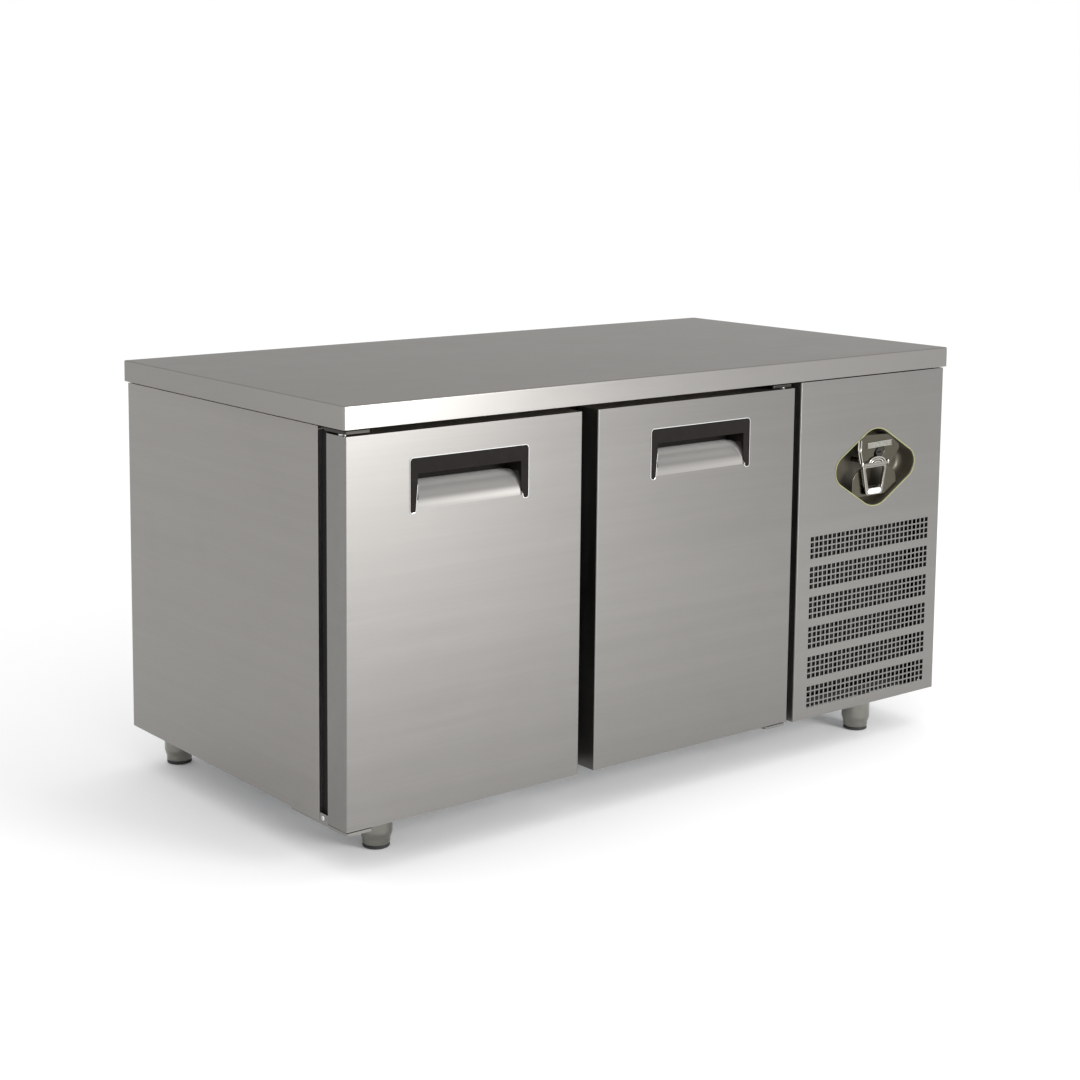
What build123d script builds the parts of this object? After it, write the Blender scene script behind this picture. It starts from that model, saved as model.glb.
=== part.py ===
"""Two-door undercounter refrigerator: one STEP file per piece, in millimetres.

Origin: floor level under the centre of the worktop. +X runs to the right as a user stands in
front of the doors, +Y to the back, +Z up.
"""

from build123d import *
import math
import os

# Overall size, set by the worktop and the feet
LENGTH, DEPTH, HEIGHT = 1500.0, 760.0, 800.0
SHEET = 1.2                      # stainless sheet of the outer case and the doors

# Worktop
TOP_EDGE = 40.0                  # height of the folded edge
TOP_SHEET = 1.5
TOP_LIP = 18.0                   # width of the lip turned in under the edge
TOP_UNDER = HEIGHT - TOP_EDGE
SPACER = 4.0                     # board between worktop and case: a shadow gap shows round it

# Case
SIDE_X = 742.0                   # outer face of both side panels
CASE_FRONT, CASE_BACK = -290.0, 378.0
CASE_BOTTOM, CASE_TOP = 78.0, TOP_UNDER - SPACER
PAN_SHEET = 1.5
LINER_SHEET = 1.0
BAY_X = (-686.0, 250.0)          # inside of the cold bay
BAY_Y = (CASE_FRONT, 322.0)
BAY_Z = (130.0, 714.0)
DIVIDER_X = 305.0                # machine-bay face of the divider wall
BAY_FRONT = -338.0               # front edge of the machine bay's right side

# Breaker strips: the black frame that the gaskets seat on
STRIP_FRONT = -308.0
STRIP_X = (-734.0, DIVIDER_X)
STRIP_Z = (84.0, 750.0)
MULLION_X = (-270.0, -171.0)

# Doors
DOOR_FRONT, DOOR_BACK = -376.0, -320.0
DOOR_Z = (81.0, 748.0)
LEFT_X = (-744.0, -239.0)
RIGHT_X = (-202.0, 303.0)
GASKET_INSET, GASKET_WIDTH, GASKET_GAP = 13.0, 16.0, 0.3
PIVOT_INSET = 12.0               # from the hinge edge of the door to the pin's axis
PIVOT_Y = -351.0
PIN_R, BUSH_BORE_R, BUSH_R, BUSH_LENGTH = 4.0, 4.06, 6.0, 18.0
BUSH_COLLAR_R, BUSH_COLLAR = 8.0, 2.0

# Grip in each door
GRIP_WIDTH, GRIP_OFFSET = 254.0, 3.0
GRIP_TOP, GRIP_HEIGHT = 47.0, 94.0   # below the door's top edge
BAND_HEIGHT, BAND_SHEET = 28.0, 3.0
LEG_TOP, LEG_TIP = 17.0, 12.0
GRIP_DEPTH, GRIP_WALL = 46.0, 2.0
GRIP_PROUD = 0.8
TONGUE_BASE, TONGUE_DROP = 6.0, 18.0   # tongue's foot above the grip's bottom, its end below the band

# Service panel
PANEL_X = (320.0, 744.0)
PANEL_Z = (76.0, 757.0)
PANEL_RETURN = 32.0
PANEL_PIVOT = (733.0, -358.0)
PANEL_PIN_R, PANEL_PIN_BORE_R = 3.0, 3.06
HOLE_W, HOLE_H = 9.4, 9.0
HOLE_PITCH_X, HOLE_PITCH_Z = 12.7, 11.7
HOLE_COLUMNS, HOLE_ROWS, HOLE_BANDS, BAND_PITCH = 28, 4, 6, 60.9
HOLES_LEFT, HOLES_TOP = 38.0, 311.0  # first hole's corner, from the panel's left and top edges

# Latch dish in the service panel
DISH_X, DISH_Z = 542.5, 569.0
DISH_HALF_W, DISH_HALF_H = 148.0, 89.0   # sharp lozenge, before its corners are rounded
DISH_ROUND_SIDE, DISH_ROUND_TOP = 32.0, 60.0
DISH_DEPTH, DISH_SHEET = 38.0, 1.0
SEAL = 3.0
LATCH_FRONT = -374.0             # front of the flared upper plate
LATCH_SHEET = 3.0
LOOP_PIVOT = (-374.5, 575.0)     # y and z of the pull loop's axis
LOOP_TOP_W, LOOP_LOW_W, LOOP_DROP = 78.0, 47.0, 66.0
LOOP_BARREL_R, LOOP_PIN_R, LOOP_BORE_R = 3.5, 1.6, 1.66
LOCK_X, LOCK_Z, LOCK_R = 554.0, 598.0, 9.0

# Feet: (name, x, y)
FEET = (("front_left", -612.0, -271.0), ("front_right", 582.0, -308.0),
        ("back_left", -664.0, 338.0), ("back_right", 655.0, 338.0))
SLEEVE_R, SLEEVE_BORE_R, SLEEVE_BOTTOM = 29.0, 25.5, 18.0
FOOT_R, FOOT_TOP, PAD_R, PAD = 25.0, 66.0, 23.0, 3.0

# Cable gland in the back panel
GLAND_X, GLAND_Z, GLAND_BORE_R = 700.0, 200.0, 4.5

# Hinge plates
PLATE, PLATE_WIDTH, PLATE_FRONT = 5.0, 52.0, -373.0
TAB_SHEET = 1.5

# Wire shelves
SHELF_Z, SHELF_Y = 402.0, (-284.0, 306.0)
WIRE_R, RIM_R, WIRE_PITCH = 2.0, 3.5, 25.0
SHELF_CLEAR = 13.0               # from the bay's side to the middle of the rim
UPRIGHT, UPRIGHT_WIDTH, UPRIGHT_Z = 2.0, 22.0, (150.0, 700.0)
CLIP_REACH, CLIP_WIDTH, CLIP_DROP = 20.0, 14.0, 26.0

# Machine bay
UNIT_BASE_Z = 84.0
COIL_X, COIL_Y, COIL_Z = (345.0, 737.0), (-318.0, -282.0), (100.0, 448.0)
SHROUD_BACK = COIL_Y[1] + 40
FAN_X, FAN_Z, FAN_R = 525.0, 272.0, 118.0
COMPRESSOR = (560.0, 130.0)      # x and y of the shell's axis
MOUNT_SPOTS = [(COMPRESSOR[0] + dx, COMPRESSOR[1] + dy) for dx in (-75, 75) for dy in (-50, 50)]
MOUNT_HEIGHT = 20.5
DRIER = (360.0, 40.0)            # x and y of the drier's axis
SWITCH_CENTRE = (360.0, -300.0, 620.0)

# Evaporator, at the right-hand end of the cold bay
EVAP_X, EVAP_Y, EVAP_Z = (172.0, 249.0), (-190.0, 300.0), (190.0, 700.0)
EVAP_FAN = (55.0, 560.0)         # y and z of the fan's axis
EVAP_FAN_R = 74.0


def block(x, y, z):
    """Box between two limits on each axis."""
    size = (x[1] - x[0], y[1] - y[0], z[1] - z[0])
    centre = (sum(x) / 2, sum(y) / 2, sum(z) / 2)
    return Pos(*centre) * Box(*size)


def rod(start, axis, radius, length):
    """Cylinder from a start point along X, Y or Z."""
    turn = {"X": Rot(0, 90, 0), "Y": Rot(-90, 0, 0), "Z": Rot(0, 0, 0)}[axis]
    return Pos(*start) * turn * Cylinder(radius, length, align=(Align.CENTER, Align.CENTER, Align.MIN))


def prism_x(points, x0, x1):
    """Outline in the Y-Z plane, extruded from x0 to x1."""
    face = make_face(Polyline(*[(x0, y, z) for y, z in points], close=True))
    return extrude(face, amount=x1 - x0, dir=(1, 0, 0))


def group(solids):
    """Separate solids of one kind, kept in one node."""
    return Compound([solid for shape in solids for solid in shape.solids()])


def write(name, shape):
    export_step(shape, "parts/" + name + ".step")


def inset(limits, amount):
    return (limits[0] + amount, limits[1] - amount)


# ---------------------------------------------------------------- worktop and case

def worktop_skin():
    """Folded sheet: flat top, four edges and a lip turned in under them."""
    half_x, half_y = LENGTH / 2, DEPTH / 2
    outer = block((-half_x, half_x), (-half_y, half_y), (TOP_UNDER, HEIGHT))
    outer = fillet(outer.edges().filter_by(Axis.Z), 4.0)
    outer = fillet(outer.faces().sort_by(Axis.Z)[-1].edges(), 3.0)
    hollow = block((-half_x + TOP_SHEET, half_x - TOP_SHEET), (-half_y + TOP_SHEET, half_y - TOP_SHEET),
                   (TOP_UNDER + TOP_SHEET, HEIGHT - TOP_SHEET))
    hollow = fillet(hollow.edges().filter_by(Axis.Z), 2.5)
    mouth = block((-half_x + TOP_LIP, half_x - TOP_LIP), (-half_y + TOP_LIP, half_y - TOP_LIP),
                  (TOP_UNDER - 1, TOP_UNDER + TOP_SHEET + 1))
    return outer - hollow - mouth


def worktop_core():
    """Underlay board glued inside the worktop skin."""
    gap = TOP_SHEET + 0.5
    board = block((-LENGTH / 2 + gap, LENGTH / 2 - gap), (-DEPTH / 2 + gap, DEPTH / 2 - gap),
                  (TOP_UNDER + TOP_SHEET, HEIGHT - gap))
    return fillet(board.edges().filter_by(Axis.Z), 4.0)


def top_spacer():
    """Board between case and worktop, set back all round."""
    return block((-730, 730), (-338, 366), (CASE_TOP, TOP_UNDER))


def side_panel(sign, front):
    """Side sheet with a 20 mm return at its front edge. sign is -1 on the left, 1 on the right."""
    sheet = block((SIDE_X - SHEET, SIDE_X), (front, CASE_BACK), (CASE_BOTTOM, CASE_TOP))
    lip = block((SIDE_X - 20, SIDE_X), (front, front + SHEET), (CASE_BOTTOM, CASE_TOP))
    panel = sheet + lip
    corner = panel.edges().filter_by(Axis.Z).sort_by(lambda e: e.center().Y - e.center().X)[0]
    panel = fillet(corner, 1.0)
    return panel if sign > 0 else mirror(panel, Plane.YZ)


def back_panel():
    """Back sheet, with rows of slots behind the machine bay and a hole for the cable gland."""
    sheet = block((-SIDE_X + SHEET, SIDE_X - SHEET), (CASE_BACK - SHEET, CASE_BACK), (CASE_BOTTOM, CASE_TOP))
    slot = extrude(Plane.XZ * SlotOverall(150, 7), 10, both=True)
    for column in range(2):
        for row in range(12):
            sheet -= Pos(435 + 175 * column, CASE_BACK, 300 + 24 * row) * slot
    return sheet - rod((GLAND_X, CASE_BACK - 10, GLAND_Z), "Y", 8.0, 20)


def bottom_pan():
    """Bottom sheet, reaching forward under the breaker strips and the machine bay."""
    z = (CASE_BOTTOM, CASE_BOTTOM + PAN_SHEET)
    main_sheet = block((-SIDE_X + SHEET, SIDE_X - SHEET), (CASE_FRONT + SHEET, CASE_BACK - SHEET), z)
    cold_lip = block((-SIDE_X + 21, DIVIDER_X), (-311, CASE_FRONT + SHEET), z)
    machine_lip = block((DIVIDER_X, SIDE_X - SHEET), (-330, CASE_FRONT + SHEET), z)
    return main_sheet + cold_lip + machine_lip


def case_insulation():
    """Foam of the cold bay: one slab for each wall."""
    x_out = (-SIDE_X + SHEET, DIVIDER_X)
    x_in = inset(BAY_X, -LINER_SHEET)
    y_out = (CASE_FRONT + SHEET, CASE_BACK - SHEET)
    z_out = (CASE_BOTTOM + PAN_SHEET, CASE_TOP)
    z_in = inset(BAY_Z, -LINER_SHEET)
    back = BAY_Y[1] + LINER_SHEET
    return group([
        block((x_out[0], x_in[0]), y_out, z_out),
        block((x_in[1], x_out[1]), y_out, z_out),
        block(x_in, (back, y_out[1]), z_out),
        block(x_in, (y_out[0], back), (z_out[0], z_in[0])),
        block(x_in, (y_out[0], back), (z_in[1], z_out[1])),
    ])


def cold_liner():
    """Inner sheet box, open to the front, with rounded back corners."""
    outer = block(inset(BAY_X, -LINER_SHEET), (BAY_Y[0] + SHEET, BAY_Y[1] + LINER_SHEET),
                  inset(BAY_Z, -LINER_SHEET))
    inner = block(BAY_X, (BAY_Y[0] - 20, BAY_Y[1]), BAY_Z)
    inner = fillet(inner.edges().filter_by(Axis.Y) + inner.faces().sort_by(Axis.Y)[-1].edges(), 8.0)
    return outer - inner


def breaker_strips():
    """Five black strips round and between the two door openings."""
    y = (STRIP_FRONT, CASE_FRONT)
    return group([
        block((STRIP_X[0], BAY_X[0]), y, BAY_Z),
        block((BAY_X[1], STRIP_X[1]), y, BAY_Z),
        block(MULLION_X, y, BAY_Z),
        block(STRIP_X, y, (STRIP_Z[0], BAY_Z[0])),
        block(STRIP_X, y, (BAY_Z[1], STRIP_Z[1])),
    ])


def mullion_post():
    """Steel post behind the middle breaker strip, open at the back."""
    outer = block(inset(MULLION_X, 8), (CASE_FRONT, CASE_FRONT + 45), inset(BAY_Z, 0.2))
    hollow = block(inset(MULLION_X, 8 + SHEET), (CASE_FRONT + SHEET, CASE_FRONT + 50), BAY_Z)
    return outer - hollow


def divider_panel():
    """Machine-bay face of the divider wall, with a front lip behind the gap beside the right door."""
    z = (CASE_BOTTOM + PAN_SHEET, CASE_TOP)
    sheet = block((DIVIDER_X, DIVIDER_X + SHEET), (-318, CASE_BACK - SHEET), z)
    return sheet + block((DIVIDER_X, DIVIDER_X + 22), (-318, -318 + SHEET), z)


# ---------------------------------------------------------------- hinges

def pivot_x(door_x, hinge_side):
    return door_x[0] + PIVOT_INSET if hinge_side < 0 else door_x[1] - PIVOT_INSET


def hinge_spots():
    """(door's x limits, side that carries the hinge): left door on its left, right door on its right."""
    return ((LEFT_X, -1), (RIGHT_X, 1))


def plate_limits(door_x, side):
    edge = door_x[0] + 3 if side < 0 else door_x[1] - 3
    return tuple(sorted((edge, edge - side * PLATE_WIDTH)))


def lower_hinges():
    """Plates screwed under the case. The left one has a tab turned up beside the door's back edge."""
    plates = []
    for door_x, side in hinge_spots():
        x = plate_limits(door_x, side)
        plate = block(x, (PLATE_FRONT, -200), (CASE_BOTTOM - PLATE, CASE_BOTTOM))
        plate = fillet(plate.edges().filter_by(Axis.Z).sort_by(Axis.Y)[:2], 4.0)
        if side < 0:
            tab_y, tab_z = (-315, CASE_FRONT - 0.5), (CASE_BOTTOM, CASE_BOTTOM + 15)
            plate += block((x[0], x[0] + TAB_SHEET), tab_y, tab_z)
        plates.append(plate - rod((pivot_x(door_x, side), PIVOT_Y, 0), "Z", PIN_R, 200))
    return group(plates + [panel_hinge_plate()])


def panel_hinge_plate():
    """Joggled plate under the service panel's right-hand corner."""
    x, y = PANEL_PIVOT
    foot = block((x - 30, x + 8), (-336, -260), (CASE_BOTTOM - PLATE, CASE_BOTTOM))
    tongue = block((x - 30, x + 8), (-364, -320), (CASE_BOTTOM - PLATE, PANEL_Z[0] - 0.6))
    return foot + tongue - rod((x, y, 0), "Z", PANEL_PIN_R, 200)


def upper_hinges():
    """Plates in the gap over the doors, screwed up into the spacer board."""
    plates = []
    for door_x, side in hinge_spots():
        x = plate_limits(door_x, side)
        plate = block(x, (PLATE_FRONT + 3, -310), (CASE_TOP - PLATE, CASE_TOP))
        plate = fillet(plate.edges().filter_by(Axis.Z).sort_by(Axis.Y)[:2], 4.0)
        plates.append(plate - rod((pivot_x(door_x, side), PIVOT_Y, 700), "Z", PIN_R, 100))
    return group(plates)


def hinge_pins():
    """Pins of the doors, pressed into the plates, and the two thinner pins of the service panel."""
    pins = []
    for door_x, side in hinge_spots():
        x = pivot_x(door_x, side)
        low = rod((x, PIVOT_Y, CASE_BOTTOM - PLATE), "Z", PIN_R, PLATE + 19)
        high = rod((x, PIVOT_Y, CASE_TOP - PLATE - 17), "Z", PIN_R, PLATE + 17)
        pins += [chamfer(low.edges().sort_by(Axis.Z)[-1], 1.0), chamfer(high.edges().sort_by(Axis.Z)[0], 1.0)]
    x, y = PANEL_PIVOT
    pins.append(rod((x, y, CASE_BOTTOM - PLATE), "Z", PANEL_PIN_R, 14))
    pins.append(rod((x, y, TOP_UNDER - 11), "Z", PANEL_PIN_R, 11))
    return group(pins)


def pan_screw(x, y, z, up):
    """Pan-head screw with a cross recess. up is 1 with its head on top, -1 underneath."""
    head = rod((x, y, z if up > 0 else z - 2.4), "Z", 4.2, 2.4)
    outer = head.edges().sort_by(Axis.Z)
    head = fillet(outer[-1] if up > 0 else outer[0], 1.2)
    recess_z = (z + 1.4, z + 3) if up > 0 else (z - 3, z - 1.4)
    for wide, deep in ((4.6, 0.9), (0.9, 4.6)):
        head -= block((x - wide / 2, x + wide / 2), (y - deep / 2, y + deep / 2), recess_z)
    return head


def case_screws():
    """Screw heads under the lower hinge plates, and one on the left plate's side tab."""
    heads = []
    for door_x, side in hinge_spots():
        x = plate_limits(door_x, side)
        for y in (-270, -222):
            for across in (14, PLATE_WIDTH - 14):
                heads.append(pan_screw(x[0] + across, y, CASE_BOTTOM - PLATE, -1))
    tab_x = plate_limits(LEFT_X, -1)[0]
    heads.append(Pos(tab_x, -303, CASE_BOTTOM + 8) * Rot(0, -90, 0) * pan_screw(0, 0, 0, 1))
    return group(heads)


# ---------------------------------------------------------------- doors

def grip_frame(door_x):
    """Places of the grip: left, right, top and bottom of its frame."""
    centre = sum(door_x) / 2 + GRIP_OFFSET
    top = DOOR_Z[1] - GRIP_TOP
    return centre - GRIP_WIDTH / 2, centre + GRIP_WIDTH / 2, top, top - GRIP_HEIGHT


def tongue_line(top, bottom, behind=0.0):
    """Y-Z points of the grip's tongue, flush at its foot and rolled over to GRIP_DEPTH at its end.

    With behind, the points lie that far behind the tongue's face.
    """
    low, high = bottom + TONGUE_BASE, top - BAND_HEIGHT - TONGUE_DROP
    points = []
    steps = 16
    for i in range(steps + 1):
        turn = math.pi / 2 * i / steps
        y = DOOR_FRONT + GRIP_DEPTH * (1 - math.cos(turn))
        z = low + (high - low) * math.sin(turn)
        along = Vector(GRIP_DEPTH * math.sin(turn), (high - low) * math.cos(turn), 0).normalized()
        points.append((y + behind * along.Y, z - behind * along.X))
    return points


def grip_cavity(door_x, grow):
    """Space of the grip's pocket, wider than the finger space by grow on each side."""
    left, right, top, bottom = grip_frame(door_x)
    floor = tongue_line(top, bottom, grow)
    outline = [(DOOR_FRONT - 5, floor[0][1])] + floor
    if grow:
        outline.append((DOOR_FRONT + GRIP_DEPTH + grow, floor[-1][1]))
    outline += [(DOOR_FRONT + GRIP_DEPTH + grow, top - 4 + grow), (DOOR_FRONT - 5, top - 4 + grow)]
    return prism_x(outline, left + LEG_TOP - grow, right - LEG_TOP + grow)


def door_skin(door_x):
    """Folded sheet pan, open at the back, with the grip's tongue curving into it."""
    outer = block(door_x, (DOOR_FRONT, DOOR_BACK), DOOR_Z)
    outer = fillet(outer.edges().filter_by(Axis.Z).sort_by(Axis.Y)[:2], 2.5)
    hollow = block(inset(door_x, SHEET), (DOOR_FRONT + SHEET, DOOR_BACK + 5), inset(DOOR_Z, SHEET))
    hollow = fillet(hollow.edges().filter_by(Axis.Z).sort_by(Axis.Y)[:2], 1.3)
    left, right, top, bottom = grip_frame(door_x)
    window_x = (left + LEG_TOP - GRIP_WALL, right - LEG_TOP + GRIP_WALL)
    window = block(window_x, (DOOR_FRONT - 5, DOOR_FRONT + 5), (bottom + TONGUE_BASE, top - 2))
    sheet_outline = tongue_line(top, bottom) + tongue_line(top, bottom, SHEET)[::-1]
    tongue = prism_x(sheet_outline, left + LEG_TOP + 0.1, right - LEG_TOP - 0.1)
    skin = outer - hollow - window + tongue
    return skin - grip_face_plate(door_x) - bush_holes(door_x)


def bush_holes(door_x):
    side = -1 if door_x == LEFT_X else 1
    x = pivot_x(door_x, side)
    low = rod((x, PIVOT_Y, DOOR_Z[0] - 1), "Z", BUSH_R, BUSH_LENGTH + 1)
    high = rod((x, PIVOT_Y, DOOR_Z[1] - BUSH_LENGTH), "Z", BUSH_R, BUSH_LENGTH + 1)
    return low + high


def door_foam(door_x):
    """Foam core, cut away round the grip's pocket and the hinge bushes."""
    core = block(inset(door_x, SHEET), (DOOR_FRONT + SHEET, DOOR_BACK - 2), inset(DOOR_Z, SHEET))
    core = fillet(core.edges().filter_by(Axis.Z).sort_by(Axis.Y)[:2], 1.3)
    return core - grip_cavity(door_x, GRIP_WALL + SHEET) - grip_face_plate(door_x) - bush_holes(door_x)


def door_inner_panel(door_x):
    """Inner sheet with a shallow raised field inside the gasket."""
    sheet = block(inset(door_x, SHEET), (DOOR_BACK - 2, DOOR_BACK), inset(DOOR_Z, SHEET))
    field_inset = GASKET_INSET + GASKET_WIDTH + 14
    field = block(inset(door_x, field_inset), (DOOR_BACK, DOOR_BACK + 7), inset(DOOR_Z, field_inset))
    field = fillet(field.edges().filter_by(Axis.Y), 18)
    return sheet + chamfer(field.faces().sort_by(Axis.Y)[-1].edges(), 4.0)


def door_gasket(door_x):
    """Rubber frame with a broad base and a rounded magnet bead."""
    back = STRIP_FRONT - GASKET_GAP
    rings = []
    for side_inset, width, y in ((GASKET_INSET, GASKET_WIDTH, (DOOR_BACK, DOOR_BACK + 4)),
                                 (GASKET_INSET + 2.5, GASKET_WIDTH - 5, (DOOR_BACK + 4, back))):
        outer = block(inset(door_x, side_inset), y, inset(DOOR_Z, side_inset))
        far = side_inset + width
        hole = block(inset(door_x, far), (y[0] - 1, y[1] + 1), inset(DOOR_Z, far))
        rings.append(outer - hole)
    return rings[0] + rings[1]


def grip_face_plate(door_x):
    """The grip's face: a band and two tapered legs, let into the door's skin."""
    left, right, top, bottom = grip_frame(door_x)
    outline = Polyline(
        (left, top), (right, top), (right, bottom), (right - LEG_TIP, bottom),
        (right - LEG_TOP, top - BAND_HEIGHT), (left + LEG_TOP, top - BAND_HEIGHT),
        (left + LEG_TIP, bottom), (left, bottom), close=True)
    face = make_face(outline)
    face = fillet(face.vertices().group_by(Axis.Y)[0], 5.0)
    face = fillet(face.vertices().group_by(Axis.Y)[-1], 7.0)
    plan = Plane(origin=(0, DOOR_FRONT + BAND_SHEET - GRIP_PROUD, 0), x_dir=(1, 0, 0), z_dir=(0, -1, 0))
    return extrude(plan * face, amount=BAND_SHEET)


def door_handle(door_x):
    """One moulding: the face plate, and the pocket's walls behind it."""
    left, right, top, bottom = grip_frame(door_x)
    behind_face = block((left, right), (DOOR_FRONT + 1, DOOR_BACK), (bottom, top))
    beside_tongue = block((left + LEG_TOP, right - LEG_TOP), (DOOR_FRONT - 9, DOOR_BACK),
                          (bottom - 9, top - BAND_HEIGHT - TONGUE_DROP))
    shell = (grip_cavity(door_x, GRIP_WALL) - grip_cavity(door_x, 0.0)) & behind_face
    return grip_face_plate(door_x) + (shell - beside_tongue)


def door_bushes(door_x):
    """Two flanged bushes that turn on the hinge pins."""
    side = -1 if door_x == LEFT_X else 1
    x = pivot_x(door_x, side)
    low = rod((x, PIVOT_Y, DOOR_Z[0]), "Z", BUSH_R, BUSH_LENGTH)
    low += rod((x, PIVOT_Y, DOOR_Z[0] - BUSH_COLLAR), "Z", BUSH_COLLAR_R, BUSH_COLLAR)
    high = rod((x, PIVOT_Y, DOOR_Z[1] - BUSH_LENGTH), "Z", BUSH_R, BUSH_LENGTH)
    high += rod((x, PIVOT_Y, DOOR_Z[1]), "Z", BUSH_COLLAR_R, BUSH_COLLAR)
    bore = rod((x, PIVOT_Y, 0), "Z", BUSH_BORE_R, HEIGHT)
    return group([low - bore, high - bore])


# ---------------------------------------------------------------- service panel and latch

def lozenge(grow):
    """Rounded lozenge on the service panel's face, grown outwards by grow."""
    slant = math.atan2(DISH_HALF_H, DISH_HALF_W)
    half_w = DISH_HALF_W + grow / math.sin(slant)
    half_h = DISH_HALF_H + grow / math.cos(slant)
    shape = make_face(Polyline((-half_w, 0), (0, half_h), (half_w, 0), (0, -half_h), close=True))
    shape = fillet(shape.vertices().group_by(Axis.Y)[1], DISH_ROUND_SIDE + grow)
    ends = [v for v in shape.vertices() if abs(v.Y) > half_h - 1]
    return fillet(ends, DISH_ROUND_TOP + grow)


def dish_slab(grow, y0, y1):
    """The lozenge as a slab between two depths."""
    plan = Plane(origin=(DISH_X, y1, DISH_Z), x_dir=(1, 0, 0), z_dir=(0, -1, 0))
    return extrude(plan * lozenge(grow), amount=y1 - y0)


def hole_spots():
    """Centres (x, z) of the service panel's square ventilation holes."""
    first_x = PANEL_X[0] + HOLES_LEFT + HOLE_W / 2
    first_z = PANEL_Z[1] - HOLES_TOP - HOLE_H / 2
    return [(first_x + HOLE_PITCH_X * column, first_z - BAND_PITCH * band - HOLE_PITCH_Z * row)
            for band in range(HOLE_BANDS) for row in range(HOLE_ROWS) for column in range(HOLE_COLUMNS)]


def service_panel_skin():
    """Folded sheet pan, open at the back: lozenge hole above, six bands of square holes below."""
    y = (DOOR_FRONT, DOOR_FRONT + PANEL_RETURN)
    outer = block(PANEL_X, y, PANEL_Z)
    outer = fillet(outer.edges().filter_by(Axis.Z).sort_by(Axis.Y)[:2], 2.5)
    hollow = block(inset(PANEL_X, SHEET), (y[0] + SHEET, y[1] + 5), inset(PANEL_Z, SHEET))
    hollow = fillet(hollow.edges().filter_by(Axis.Z).sort_by(Axis.Y)[:2], 1.3)
    cutters = [block((x - HOLE_W / 2, x + HOLE_W / 2), (y[0] - 1, y[0] + 3), (z - HOLE_H / 2, z + HOLE_H / 2))
               for x, z in hole_spots()]
    skin = outer - hollow - dish_slab(0.0, y[0] - 5, y[0] + 5) - cutters
    return skin - panel_pin_holes()


def panel_pin_holes():
    x, y = PANEL_PIVOT
    return rod((x, y, PANEL_Z[0] - 1), "Z", PANEL_PIN_BORE_R, PANEL_Z[1] - PANEL_Z[0] + 2)


def latch_dish():
    """Pressed polished cup with a thin rim behind the service panel's sheet."""
    behind = DOOR_FRONT + SHEET
    bottom = DOOR_FRONT + DISH_DEPTH
    cup = dish_slab(-0.2, behind, bottom)
    cup = fillet(cup.faces().sort_by(Axis.Y)[-1].edges(), 10.0)
    inner = dish_slab(-0.2 - DISH_SHEET, behind - 5, bottom - DISH_SHEET)
    inner = fillet(inner.faces().sort_by(Axis.Y)[-1].edges(), 9.0)
    rim = dish_slab(7.0, behind, behind + DISH_SHEET)
    barrel_hole = rod((LOCK_X, bottom - 20, LOCK_Z), "Y", LOCK_R + 0.5, 30)
    return cup + rim - inner - barrel_hole


def dish_seal():
    """Thin bead round the mouth of the dish."""
    proud = DOOR_FRONT - 0.6
    return dish_slab(SEAL / 2, proud, DOOR_FRONT) - dish_slab(-SEAL / 2, proud - 5, DOOR_FRONT + 5)


def latch_outline(points, y, thickness):
    """Plate in the X-Z plane. Points are offsets from the dish's centre; y is its front face."""
    plan = Plane(origin=(DISH_X, y + thickness, DISH_Z), x_dir=(1, 0, 0), z_dir=(0, -1, 0))
    return extrude(plan * make_face(Polyline(*points, close=True)), amount=thickness)


def latch_plate():
    """Chrome body across the dish: flared upper plate, arched lower plate with a window, two posts."""
    under = LATCH_FRONT + LATCH_SHEET
    flare = latch_outline([(-50, 12), (-50, 64), (46, 64), (80, 34), (62, 16), (44, 12)], LATCH_FRONT,
                          LATCH_SHEET)
    flare = fillet(flare.edges().filter_by(Axis.Y).sort_by(Axis.X)[-1], 10.0) & dish_slab(-1.5, -400, -300)
    arch = latch_outline([(-64, -61), (-64, 3), (64, 3), (64, -61)], under, LATCH_SHEET)
    arch = fillet(arch.edges().filter_by(Axis.Y).sort_by(Axis.Z)[-2:], 26.0)
    arch += latch_outline([(-40, -10), (-40, 24), (40, 24), (40, -10)], under, LATCH_SHEET)
    arch &= dish_slab(-1.5, -400, -300)
    window = block((DISH_X - 24, DISH_X + 24), (-400, -300), (DISH_Z - 46, DISH_Z - 4))
    window = fillet(window.edges().filter_by(Axis.Y), 5.0)
    bottom = DOOR_FRONT + DISH_DEPTH - DISH_SHEET
    body = flare + arch - window
    for dx in (-32, 34):
        body += rod((DISH_X + dx, under + 1, DISH_Z + 14), "Y", 5.0, bottom - under - 1)
    y, z = LOOP_PIVOT
    for x in (DISH_X - LOOP_TOP_W / 2 - 4, DISH_X + LOOP_TOP_W / 2 + 1):
        body += block((x, x + 3), (y - 2.5, under + 1), (z - 4, z + 4))
    body -= rod((DISH_X - LOOP_TOP_W / 2 - 0.9, y, z), "X", LOOP_BARREL_R + 0.5, LOOP_TOP_W + 1.8)
    body -= rod((LOCK_X, LATCH_FRONT - 5, LOCK_Z), "Y", LOCK_R + 0.06, 40)
    return body + rod((DISH_X - LOOP_TOP_W / 2 - 3, y, z), "X", LOOP_PIN_R, LOOP_TOP_W + 6)


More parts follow.
